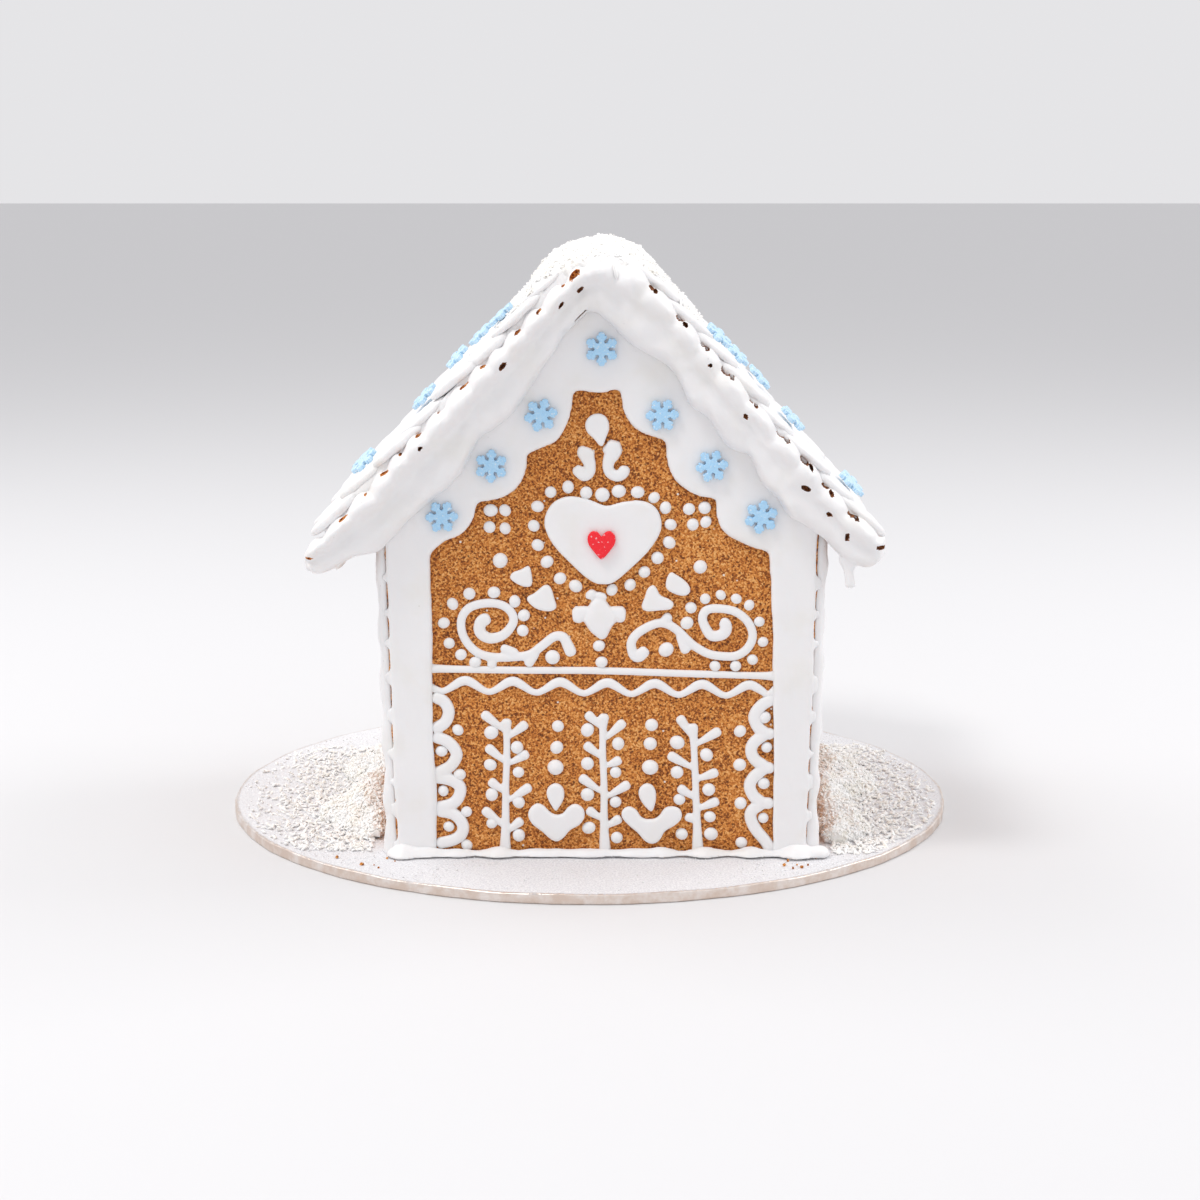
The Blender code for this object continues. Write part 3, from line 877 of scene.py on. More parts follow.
class Piping:
    """Icing piped on a side: lines, drops and dots."""

    @staticmethod
    def _curve() -> Piece:
        """A curve with nothing drawn yet.

        Returns:
            The curve's object.
        """
        bpy.ops.object.select_all(action="DESELECT")
        bpy.ops.curve.primitive_nurbs_path_add()
        bpy.context.object.data.splines.clear()
        return bpy.context.object

    @staticmethod
    def lines(strokes: Sequence[Stroke], voxel: float = 0.42, height: float = 2.2) -> Piece:
        """Pipes strokes and melts them into each other.

        Args:
            strokes: what is piped.
            voxel: how fine the skin is.
            height: about how high the widest part stands.

        Returns:
            The icing, in the side's millimetres.
        """
        curve = Piping._curve()
        for stroke in strokes:
            line, radii = stroke.drawn()
            spline = curve.data.splines.new("POLY")
            spline.points.add(len(line) - 1)
            for point, place, radius in zip(spline.points, line, radii):
                point.co = (*place, 1.0)
                point.radius = radius
        curve.data.bevel_depth = 1.0
        curve.data.bevel_resolution = 3
        curve.data.use_fill_caps = True
        bpy.ops.object.convert(target="MESH")
        piece = bpy.context.object
        Bench.move(piece, lambda p: p * np.array([1, 1, 0.9]) + np.array([0, 0, 0.35]))
        Bench.blend(piece, voxel, 3, 0.55)

        def settle(points: np.ndarray) -> np.ndarray:
            """Flattens the icing as it slumps, and seats it in the biscuit.

            Args:
                points: the mesh's points.

            Returns:
                The moved points.
            """
            points[:, 2] = np.where(points[:, 2] > 0, height * np.tanh(points[:, 2] / height), points[:, 2])
            points[:, 2] = np.maximum(points[:, 2], -0.3)
            return points

        Bench.move(piece, settle)
        return piece

    @staticmethod
    def dots(name: str, places: Sequence[Spot], seed: int) -> Piece:
        """Pipes dots: flat-bottomed beads, each a little out of round.

        Args:
            name: the new object's name.
            places: where each is, and how wide.
            seed: sets how uneven they come out.

        Returns:
            The beads, in the side's millimetres.
        """
        bpy.ops.object.select_all(action="DESELECT")
        bpy.ops.mesh.primitive_uv_sphere_add(segments=20, ring_count=12, radius=1.0)
        bead = bpy.context.object

        def slump(points: np.ndarray) -> np.ndarray:
            """Seats the bead and draws its top up a little where the bag lifted.

            Args:
                points: the mesh's points.

            Returns:
                The moved points.
            """
            reach = np.hypot(points[:, 0], points[:, 1])
            points[:, 2] = np.maximum(points[:, 2], -0.35) * 0.62 + 0.1
            points[:, 2] += 0.10 * np.exp(-((reach / 0.28) ** 2)) * (points[:, 2] > 0)
            return points

        Bench.move(bead, slump)
        draw = random.Random(seed)
        matrices = []
        for u, v, width in places:
            size = width / 2 * draw.uniform(1.0, 1.1)
            squash = draw.uniform(0.93, 1.07)
            matrices.append(
                Matrix.Translation((u, v, 0.1))
                @ Matrix.Rotation(draw.uniform(0, math.tau), 4, "Z")
                @ Matrix.Diagonal((size * squash, size / squash, size * draw.uniform(0.92, 1.1), 1.0))
            )
        return Bench.scatter(name, [bead], matrices)

    @staticmethod
    def cut_out(outline: Sequence[Vector], thickness: float, rounding: float) -> Piece:
        """A flat shape with softened edges, lying on the side.

        Args:
            outline: its closed outline.
            thickness: how thick it is.
            rounding: the radius of its edges.

        Returns:
            The shape, in the side's millimetres, from 0 upwards.
        """
        curve = Piping._curve()
        curve.data.dimensions = "2D"
        curve.data.fill_mode = "BOTH"
        spline = curve.data.splines.new("POLY")
        spline.points.add(len(outline) - 1)
        for point, place in zip(spline.points, outline):
            point.co = (place[0], place[1], 0.0, 1.0)
        spline.use_cyclic_u = True
        curve.data.extrude = max(thickness / 2 - rounding, 1e-4)
        curve.data.bevel_depth = rounding
        curve.data.bevel_resolution = 3
        curve.data.offset = -rounding
        bpy.ops.object.convert(target="MESH")
        piece = bpy.context.object
        Bench.outward(piece)
        Bench.move(piece, lambda p: p + np.array([0, 0, thickness / 2]))
        return piece

    @staticmethod
    def flooded(outline: Sequence[Point], thickness: float = 2.3, voxel: float = 0.42) -> Piece:
        """A shape flooded with icing, domed towards its rounded edge.

        Args:
            outline: points that its closed edge passes.
            thickness: how thick it is.
            voxel: how fine its skin is.

        Returns:
            The shape, in the side's millimetres.
        """
        line = curve_through(outline, 0.8, closed=True)
        middle = sum(line, Vector()) / len(line)
        line = [p + (p - middle).normalized() * 0.35 for p in line]
        piece = Piping.cut_out(line, thickness, thickness * 0.42)
        Bench.blend(piece, voxel, 6, 0.55)
        return piece


def arc(centre: Point, radius: float, start: float, end: float, steps: int) -> list[Point]:
    """Points of an arc.

    Args:
        centre: its middle.
        radius: its radius.
        start: where it starts, in degrees.
        end: where it ends, in degrees.
        steps: how many steps it takes.

    Returns:
        The points, both ends included.
    """
    angles = [math.radians(start + (end - start) * i / steps) for i in range(steps + 1)]
    return [(centre[0] + radius * math.cos(a), centre[1] + radius * math.sin(a)) for a in angles]


# ---------------------------------------------------------------- the house's pieces


class Finishes:
    """Every material, made once."""

    def __init__(self, house: House) -> None:
        """Makes the materials.

        Args:
            house: the house, whose board sets where its foil is bare.
        """
        self.biscuit = Gingerbread().build()
        # The hole finish is painted shade: a near-black brown for the insides of the icing's holes.
        self.crumb = HoleShade().build()
        self.icing = RoyalIcing().build()
        self.frosting = RoyalIcing("dusted royal icing", sheen=0.5, dust=0.3).build()
        self.blue = PressedSugar("blue pressed sugar", (0.41, 0.69, 0.95), (0.66, 0.85, 0.99)).build()
        # The roof's flakes take a paler copy of the blue sugar, mixed further towards white than the flakes
        # on the wall.
        self.paler_blue = PressedSugar("dusted blue sugar", (0.52, 0.76, 0.96), (0.9, 0.95, 0.99)).build()
        self.red = PressedSugar("red pressed sugar", (0.93, 0.008, 0.02), (0.95, 0.035, 0.055)).build()
        self.coconut = Coconut().build()
        self.foil = DustedFoil(house.board_radius, house.board_top).build()


@dataclass
class CakeBoard:
    """The round board, wrapped in foil that puckers a little at the rim."""

    house: House
    finishes: Finishes
    rim: float = 0.7
    pucker: float = 0.22
    grains: int = 5200

    def build(self) -> None:
        """Makes the board and the icing powder that lies on it."""
        radius, top = self.house.board_radius, self.house.board_top
        bpy.ops.mesh.primitive_cylinder_add(vertices=288, radius=radius, depth=top, location=(0, 0, top / 2))
        board = bpy.context.object
        bpy.ops.object.transform_apply(location=True)
        bevel = {"width": self.rim * MM, "segments": 4, "limit_method": "ANGLE"}
        Bench.modify(board, "BEVEL", angle_limit=math.radians(40), **bevel)

        def puckered(points: np.ndarray) -> np.ndarray:
            """Moves the rim in and out, and up and down, as folded foil goes.

            Args:
                points: the mesh's points.

            Returns:
                The moved points.
            """
            angle = np.arctan2(points[:, 1], points[:, 0])
            reach = np.hypot(points[:, 0], points[:, 1])
            wave = np.sin(angle * 41) * 0.5 + np.sin(angle * 17 + 1.0) * 0.6 + np.sin(angle * 97) * 0.35
            rim = reach > radius - 4 * MM
            out = 1 + rim * wave * self.pucker * MM / radius
            points[:, :2] *= out[:, None]
            points[:, 2] += rim * (points[:, 2] > top / 2) * np.sin(angle * 23 + 2) * 0.16 * MM
            return points

        Bench.move(board, puckered)
        Bench.done(board, "foil_board", [self.finishes.foil], Slot.FOIL, ["cake_board"], 35)
        self._powder()

    def _powder(self) -> None:
        """Scatters loose icing powder over the board, thicker near the house."""
        bpy.ops.mesh.primitive_ico_sphere_add(subdivisions=1, radius=0.5 * MM)
        grain = bpy.context.object
        draw = random.Random(5)
        places = []
        house = self.house
        while len(places) < self.grains:
            angle, reach = draw.uniform(0, math.tau), house.board_radius * math.sqrt(draw.random())
            x, y = reach * math.cos(angle), reach * math.sin(angle)
            aside = abs(x - house.middle)
            inside = aside < 83 * MM and house.front_y - 4 * MM < y < house.back_y + 4 * MM
            near = math.exp(-abs(aside - 90 * MM) / (30 * MM))
            if inside or reach > house.board_radius - 2.5 * MM or draw.random() > 0.35 + near:
                continue
            size = draw.uniform(0.35, 1.0) ** 1.5
            spin = Matrix.Rotation(draw.uniform(0, 6), 4, Vector((draw.random(), 1, draw.random())))
            place = Matrix.Translation((x, y, house.board_top + 0.12 * MM * size))
            places.append(place @ spin @ Matrix.Diagonal((size, size * 0.8, size * 0.6, 1)))
        powder = Bench.scatter("powder", [grain], places)
        Bench.done(powder, "icing_powder", [self.finishes.frosting], Slot.COCONUT)


@dataclass
class BakedPanels:
    """The walls and roof, each baked a little uneven with softened edges."""

    finishes: Finishes
    nodes: tuple[str, ...] = ("wall_front", "wall_back", "wall_left", "wall_right", "roof_left", "roof_right")

    def build(self) -> None:
        """Makes the six panels."""
        for i, node in enumerate(self.nodes):
            panel = Bench.copy_of(node, node)
            voxel = 1.25 if node == "wall_front" else 1.7
            Bench.blend(panel, voxel * MM, 2, 0.6)
            Bench.wobble(panel, 0.35 * MM, 9 * MM, i)
            Bench.wobble(panel, 0.22 * MM, 2.6 * MM, i + 4)
            kind, place = node.split("_")
            Bench.done(panel, f"baked_{kind}_{place}", [self.finishes.biscuit], Slot.GINGERBREAD, [node], 80)


# The window's edge on the front wall, from the board up the left side, over the top and down the right
WINDOW = (
    (
        (-64.7, -1), (-65.2, 40), (-65.8, 80), (-66, 115), (-65.2, 121.5), (-60.7, 125.3),
        (-54.6, 127.5), (-50.3, 133.7), (-49.3, 140.4),
    ),
    ((-49.3, 140.4), (-43.5, 141), (-36.2, 143.5), (-31.3, 149.6), (-29.8, 158.2)),
    ((-29.8, 158.2), (-23.9, 161.2), (-17.9, 163.7), (-13.6, 171.6), (-12.4, 181.2)),
    ((-12.4, 181.2), (-9.4, 183.4), (-0.9, 182.2), (6.9, 183.7), (8.7, 181.2)),
    ((8.7, 181.2), (10, 174), (14.8, 167.9), (22.1, 164.9), (26.3, 163.1)),
    ((26.3, 163.1), (26.7, 155.7), (29.4, 148.4), (36.8, 142.9), (45.3, 141.7)),
    (
        (45.3, 141.7), (45.4, 134.9), (47.9, 128.7), (54, 125), (62.6, 122.6), (64.6, 118), (66, 95),
        (66.8, 70), (67.2, 30), (67.2, -1),
    ),
)


@dataclass
class Facings:
    """The icing flooded over each gable wall round a bare window, and under each eave in scallops."""

    house: House
    finishes: Finishes
    thickness: float = 2.9
    rounding: float = 1.1
    inset: float = 1.2
    skin: float = 0.8
    bead_high: float = 3.2
    bead_lift: float = 0.9
    scallops: int = 7

    def build(self) -> None:
        """Makes the four facings."""
        house = self.house
        for node, side in (("facing_front", house.front), ("facing_back", house.back)):
            self._gable(node, side)
        for node, side in (("facing_left", house.left), ("facing_right", house.right)):
            self._eave(node, side)

    def _finish(self, piece: Piece, node: str, side: Side, seed: float) -> None:
        """Softens a facing and lays it on its wall.

        Args:
            piece: the object.
            node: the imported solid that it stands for.
            side: the side of the house that it lies on.
            seed: sets how uneven it comes out.
        """
        Bench.blend(piece, self.skin, 4, 0.6)
        Bench.wobble(piece, 0.7, 24.0, seed)
        Bench.wobble(piece, 0.18, 5.0, seed + 3)
        side.lay(piece)
        Bench.done(piece, f"flooded_{node}", [self.finishes.icing], Slot.ICING, [node], 80)

    def _bead(self, path: Sequence[Point], width: float) -> Piece:
        """The soft bead along a facing's edge.

        Args:
            path: the line it follows.
            width: how wide it is.

        Returns:
            The bead, in the side's millimetres.
        """
        rim = Piping.lines([Stroke(path, (width,))], self.skin, self.bead_high)
        rim.data.transform(Matrix.Translation((0, 0, self.bead_lift)))
        return rim

    def _gable(self, node: str, side: Side) -> None:
        """Floods a gable wall outside its window, with a soft bead along the window's edge.

        Args:
            node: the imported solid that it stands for.
            side: the side of the house that it lies on.
        """
        house = self.house
        top = house.ridge - house.panel / house.cos - self.inset
        eave = house.eave_half - self.inset
        base = house.base_half - self.inset
        edge: list[Vector] = []
        for part in WINDOW:
            edge += curve_through(part, 1.2)[:-1]
        low = top - house.rise * eave
        outer = [(base, -1), (eave, low), (0, top), (-eave, low), (-base, -1)]
        outline = [Vector((u, v, 0)) for u, v in outer] + edge
        sheet = Piping.cut_out(outline, self.thickness, self.rounding)
        bead = [(p.x, p.y) for p in edge[3:-3:3]]
        out = [(u + (1.5 if u > 0 else -1.5) * (v < 124), v + 1.4 * (v >= 124)) for u, v in bead]
        rim = self._bead(out, 3.6)
        facing = Bench.join([sheet, rim, self._bridges(base, eave)])
        self._finish(facing, node, side, 1.0 if "front" in node else 8.0)

    def _bridges(self, base: float, eave: float) -> Piece:
        """Bits of icing that reach from the facing over the wall's bare edge to the roll at the corner.

        Args:
            base: half the facing's width at the foot.
            eave: half its width at the eaves.

        Returns:
            The bits, joined, in the side's millimetres.
        """
        draw = random.Random(12)
        strokes = []
        for sign in (-1, 1):
            height = 1.0
            while height < 112:
                along = draw.uniform(3.0, 7.5)
                u = sign * (base + (eave - base) * height / 134 + 0.6)
                strokes.append(Stroke(((u, height), (u + sign * 0.3, height + along)), (3.0, 3.4, 2.8)))
                height += along + draw.uniform(6.0, 11.0)
        return Piping.lines(strokes, 0.6, 2.0)

    def _eave(self, node: str, side: Side) -> None:
        """Floods the top of a side wall, down to a row of scallops.

        Args:
            node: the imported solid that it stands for.
            side: the side of the house that it lies on.
        """
        half = self.house.depth_half - 13.5
        width = 2 * half / self.scallops
        edge: list[Point] = []
        for i in range(self.scallops):
            edge += arc((-half + width * (i + 0.5), 113.0), width / 2, 184, 356, 14)
        outline = [Vector((u, v, 0)) for u, v in [*edge, (half, 129.0), (-half, 129.0)]]
        sheet = Piping.cut_out(outline, self.thickness, self.rounding)
        rim = self._bead([(u, v + 1.2) for u, v in edge[::2]], 3.4)
        self._finish(Bench.join([sheet, rim]), node, side, 3.0 if "left" in node else 5.0)


@dataclass
class GableRoll:
    """The icing that rolls over one end of the roof: a lumpy roll over a smooth flange."""

    house: House
    finishes: Finishes
    node: str
    side: Side
    seed: float
    # How far apart the lumps are, and how much farther on the right
    pitch: float = 10.8
    wider: float = 1.27
    stations: int = 420
    # How far from the middle the icing is sure to cover the roof panels' ends
    covered: float = 40.0
    tips: tuple[float, float] = (-113.5, 108.5)
    # How deep the icing hangs, at places from the middle out to the eave
    left: tuple[Point, ...] = (
        (0, 22.5), (6, 17.6), (12, 14.5), (16, 21.5), (23, 23.8), (33, 29.5), (40, 28), (47, 25.1),
        (53, 31.8), (59, 31.8), (66, 29.9), (74, 29), (85, 29.4), (95, 20.8), (103, 17.4), (108, 14),
        (111, 10.5), (113.5, 6),
    )
    right: tuple[Point, ...] = (
        (0, 23), (7, 25.8), (12, 25.5), (19, 22.4), (25, 19.8), (29, 19.9), (33, 26.9), (41, 23.2),
        (46.5, 27.7), (51, 25.8), (57, 20.5), (60, 28), (68, 26.8), (71, 30.4), (77, 26.6), (86, 24),
        (93, 24.5), (98, 21), (102, 18), (105, 13), (107, 9), (108.5, 5),
    )
    # How high its top edge runs, at places across
    top: tuple[Point, ...] = (
        (-114, 121.5), (-98, 137.5), (-80, 157), (-55, 184), (-34, 205.5), (-20, 219.5), (-9, 230),
        (0, 233.5), (9, 232), (16, 227.5), (30, 212), (50, 189), (76, 159.5), (93, 140.5), (100, 133.5),
        (108.5, 127.5),
    )
    # The section from its top edge to its foot: share of its depth, how far out it stands on the
    # left, where a groove parts the roll from its flange, and on the right
    section: tuple[Spot, ...] = (
        (0.0, 7.5, 7.5), (0.015, 10.4, 10.2), (0.05, 13.2, 12.4), (0.1, 15.8, 14.2), (0.17, 17.4, 15.4),
        (0.25, 17.8, 16.0), (0.32, 16.8, 15.9), (0.385, 14.7, 15.2), (0.43, 12.9, 14.3),
        (0.48, 11.8, 13.4), (0.53, 11.7, 12.9), (0.6, 12.1, 12.8), (0.68, 12.5, 12.9),
        (0.76, 12.4, 12.7), (0.84, 11.9, 12.1), (0.9, 11.2, 11.2), (0.95, 9.8, 9.6), (0.98, 7.8, 7.6),
        (1.0, 4.6, 4.6),
    )
    # Holes left in the icing: place across, depth below its top edge, half length, half width
    holes: tuple[tuple[float, float, float, float], ...] = (
        (-8, 8.5, 1.5, 0.9), (-15.1, 8, 1.7, 0.9), (-36.9, 9, 1.9, 1.0), (40.6, 6, 0.8, 0.7),
        (54, 10, 1.3, 0.8), (77, 11, 2.0, 1.2), (86, 11, 1.2, 0.9), (93, 12, 1.6, 0.8),
        (-68, 7, 0.9, 0.6),
    )

    def _foot(self, u: float) -> float:
        """How low the icing hangs at a place across.

        Args:
            u: the place across, in millimetres from the middle.

        Returns:
            The height above the board, in millimetres.
        """
        table = self.left if u < 0 else self.right
        near = [abs(u) - 1.6, abs(u), abs(u) + 1.6]
        depth = float(np.mean(np.interp(near, [p[0] for p in table], [p[1] for p in table])))
        house = self.house
        foot = house.ridge + 8.0 - house.rise * math.hypot(u, 5.0) - depth
        if abs(u) >= self.covered:
            return foot
        return min(foot, house.ridge - house.rise * abs(u) - house.panel / house.cos - 3.0)

    def _crest(self, u: float) -> float:
        """How high its top edge runs at a place across."""
        near = [u - 2.5, u, u + 2.5]
        return float(np.mean(np.interp(near, [p[0] for p in self.top], [p[1] for p in self.top])))

    def _out(self, u: float, share: float) -> float:
        """How far out it stands at a share of its depth.

        Args:
            u: the place across, in millimetres from the middle.
            share: how far down its section, from 0 to 1.

        Returns:
            The distance from the wall, in millimetres.
        """
        shares, grooved, sloped = zip(*self.section)
        across = min(1.0, max(0.0, (u + 8) / 16))
        left, right = np.interp(share, shares, grooved), np.interp(share, shares, sloped)
        return float(left * (1 - across) + right * across)

    def _turn(self, u: float, down: float = 0.0) -> float:
        """Counts the lumps along the roll, half a turn to each.

        Args:
            u: the place across, in millimetres from the middle.
            down: how far below the ridge's slope, in millimetres.

        Returns:
            The angle of the lumps' wave, in radians.
        """
        along = abs(u) / self.house.cos + down * self.house.sin
        pitch = self.pitch * (self.wider if u > 0 else 1.0)
        return math.pi * (along + 1.6 * math.sin(along / 9 + self.seed)) / pitch

    def _ring(self, u: float) -> list[Spot]:
        """The closed section at one place across.

        Args:
            u: the place across, in millimetres from the middle.

        Returns:
            The section's points: across, up and out.
        """
        house = self.house
        crest, foot = self._crest(u), self._foot(u)
        depth = crest - foot
        close = min(1.0, (u - self.tips[0]) / 5, (self.tips[1] - u) / 5)
        full = math.sqrt(max(0.04, 1 - (1 - close) ** 2))
        ring = []
        for share, *_ in self.section:
            along = abs(u) / house.cos + share * depth * house.sin
            lump = abs(math.sin(self._turn(u, share * depth))) ** 0.7 * 2 - 1.3
            upper = math.exp(-(((share - 0.14) / 0.16) ** 2))
            dent = noise.noise((along / 8, share * 4, self.seed)) * 1.2
            dent += noise.noise((along / 17, share, 4.0)) * 1.8
            dent = max(dent, -0.5) if share > 0.4 else dent
            lift = upper * lump * 2.2 + dent * (1 - 0.6 * (share > 0.95))
            edge = math.exp(-((share / 0.07) ** 2)) * lump * 1.7
            ring.append((u, crest + edge - share * depth, 4.0 + (self._out(u, share) - 4.0 + lift) * full))
        panel = house.panel / house.cos
        under = house.ridge - house.rise * math.hypot(u, 5.0) - panel
        inner = foot + 0.5 * depth
        if abs(u) < house.reach - 4:
            inner = max(min(under, crest - 0.3 * depth), foot + 0.4)
        roof = house.ridge - house.rise * abs(u)
        wall = 1.4 if abs(u) < house.eave_half else 3.0
        ring.append((u, foot - 0.1, wall + 0.8))
        ring.append((u, foot + 0.3, wall))
        ring.append((u, max(inner - 0.4, foot + 0.35), wall))
        ring.append((u, max(inner, foot + 0.4), 4.5))
        ring.append((u, max(inner, foot + 0.45), 10.2))
        ring.append((u, min(max(roof, inner + 0.3), crest - 0.25 * depth), 10.2))
        ring.append((u, crest - min(4.0, 0.2 * depth), 7.6))
        return ring

    def _pits(self) -> tuple[Piece, list[Matrix]]:
        """Egg shapes that cut the holes, then the slits along the top edge and at the eaves.

        Returns:
            The egg shapes as one object, and the matrix of each.
        """
        draw = random.Random(int(self.seed * 10) + 3)
        turned = [(*hole, 2.3, draw.uniform(-25, 60)) for hole in self.holes]
        for i in range(int((self.tips[0] + 10) * 4), int((self.tips[1] - 8) * 4)):
            u = i / 4
            if abs(u) < 12 or int(self._turn(u) / math.pi) == int(self._turn(u + 0.25) / math.pi):
                continue
            if u > 0:
                long, twist = draw.uniform(1.2, 2.4), draw.uniform(-24, 8)
                turned.append((u, draw.uniform(0.9, 1.8), long, draw.uniform(0.9, 1.4), 3.2, twist))
                turned.append((u + long, draw.uniform(0.9, 2.1), long * 0.8, 0.9, 3.0, twist + 25))
            elif draw.random() < 0.9:
                long, twist = draw.uniform(0.7, 2.3), draw.uniform(-15, 15)
                turned.append((u, draw.uniform(0.8, 2.0), long, draw.uniform(0.4, 0.9), 2.6, twist))
        turned += [(-10, 1.6, 2.8, 1.7, 3.2, 10)]
        turned += [(-112, 3.5, 2.4, 1.0, 4, -40), (106.6, 4.5, 2.6, 1.0, 4, -40)]
        matrices = []
        for u, deep, length, width, depth, twist in turned:
            sign = 1 if u > 0 else -1
            out = self._out(u, deep / (self._crest(u) - self._foot(u)))
            turn = Matrix.Rotation(-sign * (self.house.pitch + math.radians(twist)), 4, "Z")
            place = Matrix.Translation((u, self._crest(u) - deep, out + 0.3))
            matrices.append(place @ turn @ Matrix.Diagonal((length, width, depth, 1)))
        bpy.ops.object.select_all(action="DESELECT")
        bpy.ops.mesh.primitive_uv_sphere_add(segments=14, ring_count=8, radius=1.0)
        return Bench.scatter("pits", [bpy.context.object], matrices), matrices

    def build(self) -> None:
        """Makes the roll, its holes and its drip."""
        places = np.linspace(self.tips[0], self.tips[1], self.stations)
        roll = Bench.loft(self.node, [self._ring(float(u)) for u in places])
        hanging = ((94, 122), (94.3, 117.5), (94.4, 114), (95, 110.5), (95.1, 108))
        drip = Piping.lines([Stroke(hanging, (10, 6.4, 3.6, 3.6, 5.0))])
        drip.data.transform(Matrix.Translation((0, 0, 7.5)))
        roll = Bench.join([roll, drip])
        Bench.blend(roll, 0.85, 1)
        Bench.wobble(roll, 0.22, 3.6, self.seed)
        pits, matrices = self._pits()
        Bench.modify(roll, "BOOLEAN", object=pits, operation="DIFFERENCE", solver="MANIFOLD")
        bpy.data.objects.remove(pits)
        self.side.lay(roll)
        # Slot 1 holds the painted shade for the holes, slot 2 the biscuit that shows through the slits.
        dress = [self.finishes.icing, self.finishes.crumb, self.finishes.biscuit]
        Bench.done(roll, f"piped_{self.node}", dress, Slot.ICING, [self.node], 75)
        self._darken(roll, matrices)

    def _darken(self, roll: Piece, matrices: Sequence[Matrix]) -> None:
        """Paints shade into the holes' insides with a near-black brown, and gives the slits the biscuit that
        shows through them; the slits on the right get the painted shade too.

        Args:
            roll: the roll, in place.
            matrices: the egg shapes that cut its holes.
        """
        centres = np.array([p.center[:] for p in roll.data.polygons])
        inside = np.zeros(len(centres), np.int32)
        for i, matrix in enumerate(matrices):
            back = np.array((self.side.matrix() @ matrix).inverted())
            local = centres @ back[:3, :3].T + back[:3, 3]
            # The slits on the right lie in shade and take the painted shade of slot 1, like the holes; the
            # lit slits on the left take the plain biscuit.
            dark = i < len(self.holes) or matrix.translation.x > 0
            inside[(local**2).sum(1) < 1.06] = 1 if dark else 2
        roll.data.polygons.foreach_set("material_index", inside)


